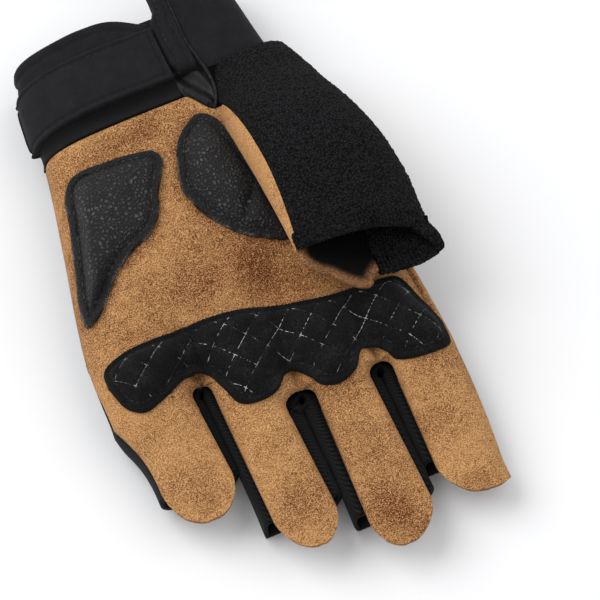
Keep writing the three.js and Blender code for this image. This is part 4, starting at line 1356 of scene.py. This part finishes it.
@dataclass
class Thumb:
    """The thumb: a towelling back with a rolled hem, and a suede front that shows as a strip."""

    terry: float = 1.8
    suede: float = 1.3
    suede_root_y: float = 57.6
    hem_width: float = 3.4
    hem_over: float = 1.2
    hem_ribs: int = 62
    hem_rib_rise: float = 0.28
    seam_angle: float = 0.7
    sink: float = 0.7
    towelling_cut: tuple[float, float, float] = (66, 78, 4700)
    front_cut: tuple[float, float, float] = (50, 66, 2600)

    def sheet_point(
        self,
        angles: tuple[Callable[[ThumbRow], float], Callable[[ThumbRow], float]],
        ends: tuple[Callable[[float], float], Callable[[float], float]],
        u: float,
        v: float,
    ) -> Vector:
        """A point over the thumb between two angle columns and two distances along it.

        Args:
            angles: the first and last angle, for a section of the thumb.
            ends: the first and last distance, for an angle.
            u: share between the angles.
            v: share between the distances.

        Returns:
            The point of the thumb's surface, after a few passes settle angle and distance.
        """
        y, angle = lerp(FORM.thumb_root_y, 0, v), 0.0
        for _ in range(4):
            row = FORM.thumb_row(round(y, 3))
            angle = lerp(angles[0](row), angles[1](row), u)
            y = lerp(ends[0](angle), ends[1](angle), v)
        return FORM.thumb_point(y, angle)

    def buried(self, point: Vector) -> bool:
        """Whether a point of the thumb lies under the palm's face."""
        row = row_at(FORM.hand, point.y)
        inside = row.left < point.x < row.right - 0.5
        return inside and point.z < FORM.palm_z(point.x, point.y) - self.sink

    def hem_start(self, angle: float) -> float:
        """Where the hem begins at an angle."""
        return FORM.mouth_at(angle) + self.hem_width

    def loops(self, point: Vector) -> float:
        """Height of the pile: loops about a millimetre across, with a stray one here and there."""
        fine = noise.voronoi(point / 1.15)[0][0]
        return 0.42 * (0.5 - fine) + 0.12 * ripple(point, 0.8) + 0.1 * ripple(point, 9, 5)

    def towelling(self) -> None:
        """Makes the looped back of the thumb."""
        bm = bmesh.new()
        angles = (lambda row: row.top, lambda row: row.end)
        ends = (lambda angle: FORM.thumb_root_y, self.hem_start)
        cloth_grid(bm, lambda u, v: self.sheet_point(angles, ends, u, v), 150, 168)
        drop_faces(bm, self.buried)
        roughen(bm, self.loops)
        piece = Piece("thumb_towelling", (TERRY,), ("thumb_back",), self.terry)
        declare_sheet(piece.publish(bm), *self.towelling_cut, ["palm"])

    def hem(self) -> None:
        """Makes the hem: the towelling rolled round the mouth's edge."""
        bm = bmesh.new()
        angles = (lambda row: row.top, lambda row: row.end)
        half = (self.hem_over + self.terry + 0.3) / 2
        face = 0.44

        def point(u: float, v: float) -> Vector:
            """A point of the roll: down its outer face, round the mouth and back inside."""
            outer = v < 0.5
            turn = clamp((v - face) / (1 - 2 * face)) * math.pi
            run = clamp(v / face) if outer else clamp((1 - v) / face)
            swell = self.hem_over - half + half * math.cos(turn)
            swell += self.hem_rib_rise * math.sin(2 * math.pi * self.hem_ribs * u)
            ease = math.sin(min(run * 4, 1) * math.pi / 2)
            angle = lerp(angles[0](FORM.thumb[-1]), angles[1](FORM.thumb[-1]), u)
            y = lerp(self.hem_start(angle) + 0.4, FORM.mouth_at(angle), run) - half * math.sin(turn)
            row = FORM.thumb_row(round(clamp(y, FORM.thumb[-1].y, FORM.thumb_root_y), 3))
            angle = lerp(row.top, row.end, u)
            lift = swell * ease if outer else swell
            return FORM.thumb_point(y, angle, lift)

        cloth_grid(bm, point, 300, 40)
        weld(bm, 0.02)
        bmesh.ops.holes_fill(bm, edges=[e for e in bm.edges if e.is_boundary], sides=0)
        bmesh.ops.recalc_face_normals(bm, faces=bm.faces)
        roughen(bm, self.loops)
        Piece("thumb_hem_roll", (TERRY,), ("thumb_hem",)).publish(bm)

    def lip_line(self) -> Curve:
        """Plan of the suede's raw end, from seam to seam."""
        row = FORM.thumb[-1]
        angles = [lerp(row.top, 360 + row.end, k / 24) for k in range(25)]
        rim = [FORM.thumb_point(FORM.lip_at(angle), angle) for angle in angles]
        return Curve([(p.x, p.y) for p in rim])

    def front(self) -> None:
        """Makes the suede front, with its raw lower lip."""
        bm = bmesh.new()
        lip = self.lip_line()
        angles = (lambda row: 360 + row.end - self.seam_angle, lambda row: row.top + self.seam_angle)
        ends = (lambda angle: self.suede_root_y, lambda angle: FORM.lip_at(angle) - 0.4)
        cloth_grid(bm, lambda u, v: self.sheet_point(angles, ends, 1 - u, v), 90, 90)
        bmesh.ops.reverse_faces(bm, faces=bm.faces)
        drop_faces(bm, self.buried)
        roughen(bm, lambda p: 0.12 * ripple(p, 7, 2))
        # Painted shade: the suede darkens low on the thumb's side and towards its root where it meets the
        # palm, and is lighter on its upper side.
        mark(bm, "painted_shade_and_wear", lambda p: 0.5 * smoothstep(26.5 - p.z, 0, 4) + 0.25 * smoothstep(p.y, 48, 58) - 0.45)
        # The depth mark paints shadow into the lining, deeper inside the thumb's mouth.
        mark(bm, "depth", lambda p: smoothstep(lip.away(p.x, p.y), 0.4, 3.4))
        piece = Piece("thumb_suede", (SUEDE, LINING), ("thumb_front",), self.suede, lined=True)
        declare_sheet(piece.publish(bm), *self.front_cut, ["palm"])

    def build(self) -> None:
        """Makes the thumb's pieces."""
        self.towelling()
        self.hem()
        self.front()


@dataclass
class LeatherPad:
    """A foam-filled leather pad with a flat border, sewn down along it."""

    name: str
    node: str
    outline: tuple[tuple[float, float], ...]
    spine: tuple[tuple[float, float], tuple[float, float]]
    middle: tuple[float, float]
    rise: float
    seam: tuple[float, float, float, float] | None = None
    border: float = 2.6
    edge: float = 1.5
    gap: float = 0.35
    around: int = 260
    rings: int = 46

    def __post_init__(self) -> None:
        """Draws the outline once, counter-clockwise."""
        self.curve = Curve(self.outline, closed=True)

    def from_spine(self, x: float, y: float) -> float:
        """How far a point lies from the spine."""
        start, end = Vector(self.spine[0]), Vector(self.spine[1])
        run = end - start
        share = clamp((Vector((x, y)) - start).dot(run) / run.length_squared)
        return (Vector((x, y)) - start - run * share).length

    def pinch(self, x: float, y: float) -> float:
        """How far the cross seam pulls the crown down at a point, as a share of it."""
        if self.seam is None:
            return 0.0
        sx, sy, dx, dy = self.seam
        across = (x - sx) * dx + (y - sy) * dy
        return 0.55 * bump_at(across, 2.9) + 0.3 * bump_at(across, 0.8)

    def top(self, x: float, y: float) -> float:
        """Height of the pad's face."""
        away, spine = self.curve.away(x, y), self.from_spine(x, y)
        share = clamp((away - self.border) / max(away + spine - self.border, 0.1))
        crown = self.rise * (1 - self.pinch(x, y)) * math.sin(math.pi / 2 * share) ** 0.8
        shoulder = self.edge * math.sqrt(1 - (1 - clamp(away / 0.5)) ** 2)
        groove = 0.45 * bump_at(away - self.border + 0.3, 0.55)
        here = Vector((x, y, 0))
        slack = (0.22 * ripple(here, 7, 4) + 0.1 * ripple(here, 3, 9)) * clamp(share * 3)
        fray = 0.16 * ripple(here, 1.1, 2) * bump_at(away, 1.6)
        return FORM.bridged(x, y) + self.gap + shoulder + crown - groove + slack + fray

    def build(self) -> None:
        """Makes the pad as a closed body, and its row of stitches."""
        bm = bmesh.new()
        centre = Vector(self.middle)

        def base(u: float, v: float) -> Vector:
            """A point of the pad's underside, from its slightly uneven rim to the middle."""
            rim = self.curve.at(u)
            wobble = 0.22 * noise.noise(Vector((rim.x / 1.3, rim.y / 1.3, 7)))
            inward = (centre - rim).normalized()
            spot = (rim + inward * wobble).lerp(centre, v**1.35)
            return Vector((spot.x, spot.y, FORM.bridged(spot.x, spot.y) + self.gap))

        cloth_grid(bm, base, self.around, self.rings)
        weld(bm, 0.02)
        raise_from(bm, lambda p: Vector((p.x, p.y, max(self.top(p.x, p.y), p.z + 0.05))))
        mark(bm, "fray", lambda p: bump_at(self.curve.away(p.x, p.y), 0.3))
        mark(bm, "border", lambda p: smoothstep(self.border + 0.4 - self.curve.away(p.x, p.y), 0, 0.9))
        pad = Piece(self.name, (LEATHER,), (self.node,)).publish(bm)
        self.sew()

    def sew(self) -> None:
        """Sews the border, and the cross seam where there is one."""
        bm = bmesh.new()
        row = StitchRow(pitch=1.9, length=1.6, radius=0.22, sink=0.08)

        def inset(share: float) -> Vector:
            """A point of the border's row of stitches."""
            rim, ahead = self.curve.at(share), self.curve.heading(share)
            inward = Vector((-ahead.y, ahead.x))
            if (Vector(self.middle) - rim).dot(inward) < 0:
                inward = -inward
            spot = rim + inward * (self.border - 0.7)
            return Vector((spot.x, spot.y, self.top(spot.x, spot.y)))

        row.sew(bm, inset, self.curve.length, lambda p: surface_normal(self.top, p))
        Piece(f"{self.name}_stitches", (BORDER_THREAD,)).publish(bm)


@dataclass
class KnuckleBar:
    """The quilted bar under the knuckles: four padded humps and a flat scalloped border."""

    rise: float = 3.4
    edge_run: float = 5
    border: float = 2.6
    edge: float = 1.5
    gap: float = 0.35
    square: float = 6.6
    quilt_angle: float = 40
    valley_depth: float = 0.8
    valley_width: float = 2.8
    upper: tuple[tuple[float, float], ...] = (
        (-58.7, -5), (-58, -0.2), (-52.1, 2.1), (-40.3, 2.6), (-28.7, 2.2), (-17.3, 0.8), (-4.2, -2.7),
        (6.9, -4.6), (18.7, -5), (26.7, -5.7), (30, -14), (32.8, -22.3),
    )
    lower: tuple[tuple[float, float], ...] = (
        (-58.7, -5), (-56.4, -12.8), (-52.5, -15.7), (-46, -14.1), (-36.8, -9.9), (-32.6, -11.2),
        (-30.4, -16.8), (-28, -23.2), (-23.5, -24.9), (-17.3, -24), (-12.6, -19.8), (-9, -21.6),
        (-5.2, -27.3), (-1.1, -28.9), (4.8, -26.7), (8.7, -21.9), (13.4, -23.6), (16.8, -28.4),
        (22, -30.3), (31.5, -29.5), (32.8, -22.3),
    )
    valleys: tuple[tuple[float, float, float, float], ...] = (
        (-33, -12, 0.995, -0.1), (-10, -12, 0.995, -0.1), (11, -12, 1, -0.05),
    )

    def __post_init__(self) -> None:
        """Draws both edges once, and the whole outline as one closed curve."""
        self.top_edge, self.low_edge = Curve(self.upper), Curve(self.lower)
        outline = self.top_edge.line + self.low_edge.line[::-1][1:-1]
        self.outline = Curve([(p.x, p.y) for p in outline], closed=True, steps=1)

    def pinch(self, x: float, y: float) -> float:
        """How much of the padding is left between the seams that part the humps."""
        left = 1.0
        for vx, vy, dx, dy in self.valleys:
            left *= 1 - self.valley_depth * bump_at((x - vx) * dx + (y - vy) * dy, self.valley_width)
        return left

    def families(self) -> list[Vector]:
        """Unit normals of the two sets of quilting lines."""
        angle = math.radians(self.quilt_angle)
        return [Vector((math.cos(angle + turn), math.sin(angle + turn))) for turn in (0, math.pi / 2)]

    def quilting(self, x: float, y: float) -> float:
        """Depth of the sewn lines, and the swelling of the squares between them."""
        depth, swell = 0.0, 1.0
        for normal in self.families():
            off = (x * normal.x + y * normal.y) / self.square
            away = abs(off - round(off)) * self.square
            depth += 0.3 * bump_at(away, 0.6)
            swell *= math.sin(math.pi * (off - math.floor(off))) ** 0.5
        return 0.5 * swell - depth

    def height(self, x: float, y: float) -> float:
        """Height of the bar's face."""
        away = self.outline.away(x, y)
        share = clamp((away - 1.4) / self.edge_run)
        crown = self.rise * self.pinch(x, y) * math.sin(math.pi / 2 * share)
        shoulder = self.edge * math.sqrt(1 - (1 - clamp(away / 0.6)) ** 2)
        quilted = self.quilting(x, y) * smoothstep(away, 1.6, 3.6)
        here = Vector((x, y, 0))
        groove = 0.3 * bump_at(away - 2.1, 0.5)
        return FORM.bridged(x, y) + self.gap + shoulder + crown + quilted - groove + 0.12 * ripple(here, 4, 6)

    def build(self) -> None:
        """Makes the bar as a closed body, and its threads."""
        bm = bmesh.new()

        def base(u: float, v: float) -> Vector:
            """A point of the bar's underside, between its upper and its lower edge."""
            spot = self.top_edge.at(u).lerp(self.low_edge.at(u), crowd(v))
            return Vector((spot.x, spot.y, FORM.bridged(spot.x, spot.y) + self.gap))

        cloth_grid(bm, base, 230, 64)
        weld(bm, 0.02)
        raise_from(bm, lambda p: Vector((p.x, p.y, max(self.height(p.x, p.y), p.z + 0.05))))
        bar = Piece("quilted_bar", (QUILT,), ("knuckle_bar",)).publish(bm)
        self.sew()

    def sew(self) -> None:
        """Sews the quilting lines and the border."""
        bm = bmesh.new()
        row = StitchRow(pitch=1.5, length=1.7, radius=0.12, sink=0.03)
        for normal in self.families():
            along = Vector((-normal.y, normal.x))
            for k in range(-14, 15):
                foot = normal * self.square * k
                self.sew_line(bm, row, foot, along)
        Piece("quilting_threads", (QUILT_THREAD,)).publish(bm)
        bm = bmesh.new()

        def inset(share: float) -> Vector:
            """A point of the border's row of stitches."""
            rim, ahead = self.outline.at(share), self.outline.heading(share)
            inward = Vector((-ahead.y, ahead.x)) * 2.0
            spot = rim + inward
            if not self.outline.holds(*spot):
                spot = rim - inward
            return Vector((spot.x, spot.y, self.height(spot.x, spot.y)))

        border = StitchRow(pitch=2.4, length=1.8, radius=0.17, sink=0.04)
        border.sew(bm, inset, self.outline.length, lambda p: surface_normal(self.height, p))
        Piece("quilt_border_stitches", (DARK_THREAD,)).publish(bm)

    def sew_line(self, bm: bmesh.types.BMesh, row: StitchRow, foot: Vector, along: Vector) -> None:
        """Sews one quilting line where it crosses the bar."""
        steps = [foot + along * (s * 0.5) for s in range(-160, 161)]
        run: list[Vector] = []
        for spot in [*steps, Vector((999, 999))]:
            inside = self.outline.holds(*spot) and self.outline.away(*spot) > 1.9
            if inside:
                run.append(spot)
            elif run:
                if len(run) > 4:
                    start, end = run[0], run[-1]

                    def path(share: float, a: Vector = start, b: Vector = end) -> Vector:
                        """A point of the thread's line, a little over the cloth."""
                        p = a.lerp(b, share)
                        return Vector((p.x, p.y, self.height(p.x, p.y) + 0.1))

                    row.sew(bm, path, (end - start).length, lambda p: surface_normal(self.height, p))
                run = []


@dataclass
class Cuff:
    """The wrist: two knit panels, the strap, and the vent between them with its hem and piping."""

    knit: float = 1.2
    strap_thick: float = 1.9
    gap: float = 0.35
    strap_y: tuple[float, float] = (71.6, 90)
    strap_end: float = -6.5
    palm_top: tuple[tuple[float, float], ...] = (
        (-62, 97.4), (-34, 98), (-24, 98.4), (-15.5, 97.8), (-11, 96), (-8, 93.6), (-6.5, 92),
    )
    side_left: tuple[tuple[float, float], ...] = (
        (2.1, 108), (2, 91), (1.9, 84), (2.2, 79), (3.2, 73.4), (3.6, 72),
    )
    hem_left: tuple[tuple[float, float], ...] = (
        (-3.2, 107.6), (-3.2, 99), (-3.5, 95), (-5.8, 90.8), (-6.2, 86), (-6.2, 79.6), (-5.8, 75.6),
        (-4.8, 73.8),
    )
    hem_right: tuple[tuple[float, float], ...] = (
        (1.5, 107.6), (1.3, 91), (1, 84.5), (1.2, 79.5), (1.3, 75), (0.9, 73.8),
    )
    gusset: tuple[tuple[float, float], ...] = (
        (-6.4, 74), (-6.4, 68.2), (0.4, 60.4), (1.4, 61), (2.6, 66), (2.7, 70), (1.8, 74.6), (-4.8, 74.4),
    )
    piping: tuple[tuple[float, float], ...] = (
        (1.9, 107.6), (1.8, 98), (1.5, 90), (1.3, 84), (1.6, 79.4), (2.4, 75.2), (3.1, 70), (2.9, 65),
        (1.7, 61.4), (0.2, 59.2),
    )
    gusset_piping: tuple[tuple[float, float], ...] = ((-5.3, 68.6), (-4.7, 67), (-3.2, 65), (-0.6, 61.2))
    hem_y: tuple[float, float] = (107.6, 72.7)
    hem_rows: tuple[float, float] = (0.3, 0.72)
    stitch_inset: float = 1.9
    palm_cut: tuple[float, float, float] = (48, 32, 1500)
    side_cut: tuple[float, float, float] = (27, 35, 900)

    def on_wrist(self, x: float, y: float, lift: float) -> Vector:
        """A point over the wrist's surface, lifted along its normal."""
        row = row_at(FORM.hand, y)
        inside = clamp(x, row.left, row.right)
        z = FORM.palm_z(inside, y)
        share = clamp(2 * (inside - row.left) / (row.right - row.left) - 1, -1, 1)
        lean = math.copysign(abs(share) ** 8, share)
        return Vector((x + lean * lift, y, z + (1 - abs(lean)) * lift))

    def stops_at(self, line: Sequence[tuple[float, float]], y: float) -> float:
        """The x of an edge at y, by straight runs between its points."""
        for (ax, ay), (bx, by) in zip(line, line[1:]):
            if min(ay, by) <= y <= max(ay, by):
                return lerp(ax, bx, (y - ay) / (by - ay))
        return line[0][0] if y > line[0][1] else line[-1][0]

    def palm_side(self) -> None:
        """Makes the knit panel below the strap, with its rolled upper rim."""
        bm = bmesh.new()
        rim = Curve(self.palm_top)

        def point(u: float, v: float) -> Vector:
            """A point of the panel, from its rolled rim down to below the strap."""
            edge = rim.at(lerp(0.28, 1, crowd(u)))
            y = lerp(edge.y, 66.5, v)
            left = row_at(FORM.hand, y).left
            x = lerp(max(left, -62), -6.6, lerp(crowd(u), u, 0.2))
            depth = edge.y - y
            roll = 0.55 * math.sqrt(1 - (1 - clamp(depth / 1.2)) ** 2) - 0.5 * bump_at(depth - 3.4, 0.7)
            sag = -0.7 * bump_at(y - 69.5, 2.0)
            return self.on_wrist(x, y, roll + sag + 0.1 * ripple(Vector((x, y, 0)), 6, 1))

        cloth_grid(bm, point, 70, 60)
        # Painted shadow in the knit just below the strap.
        mark(bm, "painted_shade_and_wear", lambda p: 0.85 * smoothstep(73.5 - p.y, 0, 3) * smoothstep(p.y, 65.5, 71))
        piece = Piece("cuff_palm_side", (KNIT,), ("cuff_palm",), self.knit)
        declare_sheet(piece.publish(bm), *self.palm_cut, ["back"])

    def thumb_side(self) -> None:
        """Makes the smooth side panel above the thumb."""
        bm = bmesh.new()

        def point(u: float, v: float) -> Vector:
            """A point of the panel, from the open end to its seam with the towelling."""
            y = lerp(108, 72.2, v)
            row = row_at(FORM.hand, y)
            x = lerp(self.stops_at(self.side_left, y), row.right, math.sin(u * math.pi / 2) ** 0.9)
            lift = 0.3 + 0.25 * ripple(Vector((x, y, 0)), 12, 6) - 0.4 * bump_at(v - 1, 0.03)
            return self.on_wrist(x, y, lift)

        cloth_grid(bm, point, 60, 60)
        piece = Piece("cuff_thumb_side", (KNIT,), ("cuff_side",), self.knit)
        declare_sheet(piece.publish(bm), *self.side_cut, ["back"])

    def strap_face(self, x: float, y: float) -> Vector:
        """A point of the strap's face, pressed down along its sewn edges."""
        low, high = self.strap_y
        away = min(y - low, high - y, self.strap_end - x + 0.6)
        pressed = 0.5 * bump_at(away - self.stitch_inset, 0.5)
        shoulder = self.strap_thick * math.sqrt(1 - (1 - clamp(away / 0.9)) ** 2)
        swell = 0.25 * smoothstep(away, 2, 6) + 0.15 * ripple(Vector((x, y, 0)), 9, 2)
        return self.on_wrist(x, y, self.gap + max(shoulder - pressed + swell, 0.06))

    def strap(self) -> None:
        """Makes the bare strap with its sewn edges."""
        low, high = self.strap_y
        bm = bmesh.new()

        def spot(u: float, v: float) -> tuple[float, float]:
            """A place on the strap in plan."""
            y = lerp(high, low, crowd(v))
            return lerp(row_at(FORM.hand, y).left, self.strap_end, lerp(crowd(u), u, 0.3)), y

        cloth_grid(bm, lambda u, v: self.on_wrist(*spot(u, v), self.gap), 90, 44)
        raise_from(bm, lambda p: self.strap_face(p.x, p.y))
        Piece("strap", (STRAP,), ("wrist_strap",)).publish(bm)
        bm = bmesh.new()
        left = row_at(FORM.hand, low).left + 0.4
        for y in (low + self.stitch_inset, high - self.stitch_inset):

            def path(share: float, y: float = y) -> Vector:
                """A point of one sewn edge."""
                return self.strap_face(lerp(left, self.strap_end - 1.6, share), y)

            row = StitchRow(pitch=2.1, length=1.7, radius=0.16)
            row.sew(bm, path, self.strap_end - left, lambda p: Vector((0, 0, 1)))
        Piece("strap_stitches", (DARK_THREAD,)).publish(bm)

    def hem_face(self, u: float, y: float) -> Vector:
        """A point of the vent's folded hem, rounded at both edges."""
        left, right = self.stops_at(self.hem_left, y), self.stops_at(self.hem_right, y)
        x = lerp(left, right, u)
        away = min(x - left, right - x, (y - 72.6) * 0.8)
        shoulder = 2.7 * math.sqrt(1 - (1 - clamp(away / 1.4)) ** 2)
        rows = 0.55 * sum(bump_at(u - row, 0.09) for row in self.hem_rows)
        return self.on_wrist(x, y, max(shoulder - rows * clamp(away), 0.05))

    def hem(self) -> None:
        """Makes the vent's hem and its two rows of stitches."""
        bm = bmesh.new()

        def under(u: float, v: float) -> Vector:
            """A point of the hem's underside."""
            y = lerp(*self.hem_y, v)
            x = lerp(self.stops_at(self.hem_left, y), self.stops_at(self.hem_right, y), crowd(u))
            return self.on_wrist(x, y, -self.knit)

        cloth_grid(bm, under, 26, 70)

        def lifted(p: Vector) -> Vector:
            """The point of the hem's face over one of its underside."""
            left, right = self.stops_at(self.hem_left, p.y), self.stops_at(self.hem_right, p.y)
            return self.hem_face(clamp((p.x - left) / (right - left)), p.y)

        raise_from(bm, lifted)
        Piece("vent_hem_fold", (KNIT,), ("vent_hem",)).publish(bm)
        bm = bmesh.new()
        top, low = 106, 75
        for share in self.hem_rows:
            row = StitchRow(pitch=2.0, length=1.5, radius=0.17, sink=0.0)
            row.sew(
                bm,
                lambda t, s=share: self.hem_face(s, lerp(top, low, t)),
                top - low,
                lambda p: Vector((0, 0, 1)),
            )
        Piece("vent_hem_stitches", (DARK_THREAD,)).publish(bm)

    def vent(self) -> None:
        """Makes the satin gusset with its folds, and both pipings."""
        bm = bmesh.new()
        outline = Curve(self.gusset, closed=True, steps=8)
        centre = Vector((-2.2, 68))

        def point(u: float, v: float) -> Vector:
            """A point of the satin, folded between its rim and its middle."""
            spot = outline.at(u).lerp(centre, v)
            fold = 0.8 * math.sin((spot.x * 0.8 + spot.y * 0.6) * 1.05) + 0.3 * ripple(Vector((*spot, 0)), 3)
            return self.on_wrist(spot.x, spot.y, -0.9 + fold * clamp(outline.away(*spot) / 1.5))

        cloth_grid(bm, point, 96, 20)
        weld(bm, 0.02)
        bmesh.ops.recalc_face_normals(bm, faces=bm.faces)
        if sum(f.normal.z for f in bm.faces) < 0:
            bmesh.ops.reverse_faces(bm, faces=bm.faces)
        Piece("vent_satin", (SATIN,), ("vent_gusset",), self.knit).publish(bm)
        cords = (
            ("vent_piping_cord", self.piping, 0.48, 0.45, "vent_piping", 110),
            ("gusset_piping_cord", self.gusset_piping, 0.5, 0.2, "gusset_piping", 30),
        )
        for name, route, radius, lift, node, steps in cords:
            line = Curve(route)
            bm = bmesh.new()

            def path(share: float, line: Curve = line, lift: float = lift) -> Vector:
                """A point of the cord's middle line."""
                spot = line.at(share)
                return self.on_wrist(spot.x, spot.y, lift)

            tube(bm, path, radius, steps)
            Piece(name, (PIPING,), (node,)).publish(bm)

    def build(self) -> None:
        """Makes all the pieces of the wrist."""
        self.palm_side()
        self.thumb_side()
        self.strap()
        self.hem()
        self.vent()


@dataclass
class Studio:
    """A white table under soft light, and the camera at the photograph's angle."""

    azimuth: float = -24
    elevation: float = 63
    distance: float = 900
    lens: float = 197.1
    target: tuple[float, float, float] = (0, 0, 15)
    table_size: float = 6.0
    glow: float = 0.62
    air: str = "#fbfcff"
    sensor: float = 36
    lamps: tuple[tuple[tuple[float, float, float], float, float], ...] = field(
        default_factory=lambda: (
            ((-0.75, 0.65, 1.25), 1.3, 17.0),
            ((0.9, -0.3, 1.3), 1.6, 6.0),
        )
    )

    def camera(self) -> None:
        """Places the camera."""
        turn, tilt = math.radians(self.azimuth), math.radians(self.elevation)
        back = Vector((math.sin(turn) * math.cos(tilt), -math.cos(turn) * math.cos(tilt), math.sin(tilt)))
        data = bpy.data.cameras.new("camera")
        data.lens = self.lens
        data.sensor_width = self.sensor
        camera = bpy.data.objects.new("camera", data)
        camera.location = FRAME @ Vector(self.target) + back * self.distance * MM
        camera.rotation_mode = "QUATERNION"
        camera.rotation_quaternion = (-back).to_track_quat("-Z", "Y")
        bpy.context.scene.collection.objects.link(camera)
        bpy.context.scene.camera = camera

    def lights(self) -> None:
        """Hangs the soft boxes and lights the room."""
        for k, (place, size, power) in enumerate(self.lamps):
            data = bpy.data.lights.new(f"soft_box_{k}", "AREA")
            data.size = size
            data.energy = power
            lamp = bpy.data.objects.new(f"soft_box_{k}", data)
            lamp.location = place
            lamp.rotation_mode = "QUATERNION"
            lamp.rotation_quaternion = (-Vector(place)).to_track_quat("-Z", "Y")
            bpy.context.scene.collection.objects.link(lamp)
        world = bpy.data.worlds.new("studio")
        world.use_nodes = True
        world.node_tree.nodes.clear()
        air = {"Color": linear(self.air), "Strength": self.glow}
        glow = add_node(world.node_tree, "Background", {}, air)
        add_node(world.node_tree, "OutputWorld", {}, {"Surface": glow.outputs[0]})
        bpy.context.scene.world = world
        bpy.context.scene.view_settings.view_transform = "Standard"

    def table(self) -> None:
        """Lays the tabletop."""
        bm = bmesh.new()
        bmesh.ops.create_grid(bm, x_segments=2, y_segments=2, size=self.table_size / 2)
        mesh = bpy.data.meshes.new("tabletop")
        bm.to_mesh(mesh)
        bm.free()
        mesh.materials.append(TABLETOP.material())
        top = bpy.data.objects.new("tabletop", mesh)
        bpy.context.scene.collection.objects.link(top)

    def build(self) -> None:
        """Sets the whole studio."""
        self.camera()
        self.lights()
        self.table()


HEEL_PAD = LeatherPad(
    name="heel_leather",
    node="heel_pad",
    outline=(
        (-20.8, 53.7), (-19.2, 50.6), (-20.8, 46.7), (-24.4, 40.8), (-26.4, 35.6), (-30.6, 31), (-37.5, 28),
        (-44, 23.8), (-49.4, 18), (-54, 14.2), (-57, 13.8), (-56.6, 21), (-53.4, 32), (-50, 44),
        (-47.6, 52.8), (-44, 56.2), (-34, 56.1), (-25.5, 55.1),
    ),
    spine=((-44, 44), (-50.5, 22)),
    middle=(-42, 39),
    rise=3.8,
)
THENAR_PAD = LeatherPad(
    name="thenar_leather",
    node="thenar_pad",
    outline=(
        (-4.6, 59.2), (-9.2, 57.4), (-13.2, 53.6), (-16.2, 46.8), (-17.9, 39.8), (-17, 34.6), (-14.6, 29.1),
        (-9.3, 22), (-5.4, 18.9), (-2, 17.1), (1.8, 15.1), (4.6, 15.3), (5.4, 18.8), (4.6, 28), (3.4, 40),
        (1, 50), (-1.4, 57),
    ),
    spine=((-8.5, 45), (-2.5, 24)),
    middle=(-6.5, 37),
    rise=3.6,
    seam=(-2.4, 28.6, 0.79, -0.61),
)


def main() -> None:
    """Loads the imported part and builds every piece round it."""
    logging.basicConfig(level=logging.INFO, format="%(message)s")
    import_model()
    Studio().build()
    PalmPanel().build()
    HandBack().build()
    Fourchettes().build()
    Thumb().build()
    HEEL_PAD.build()
    THENAR_PAD.build()
    KnuckleBar().build()
    Cuff().build()


if __name__ == "__main__":
    main()
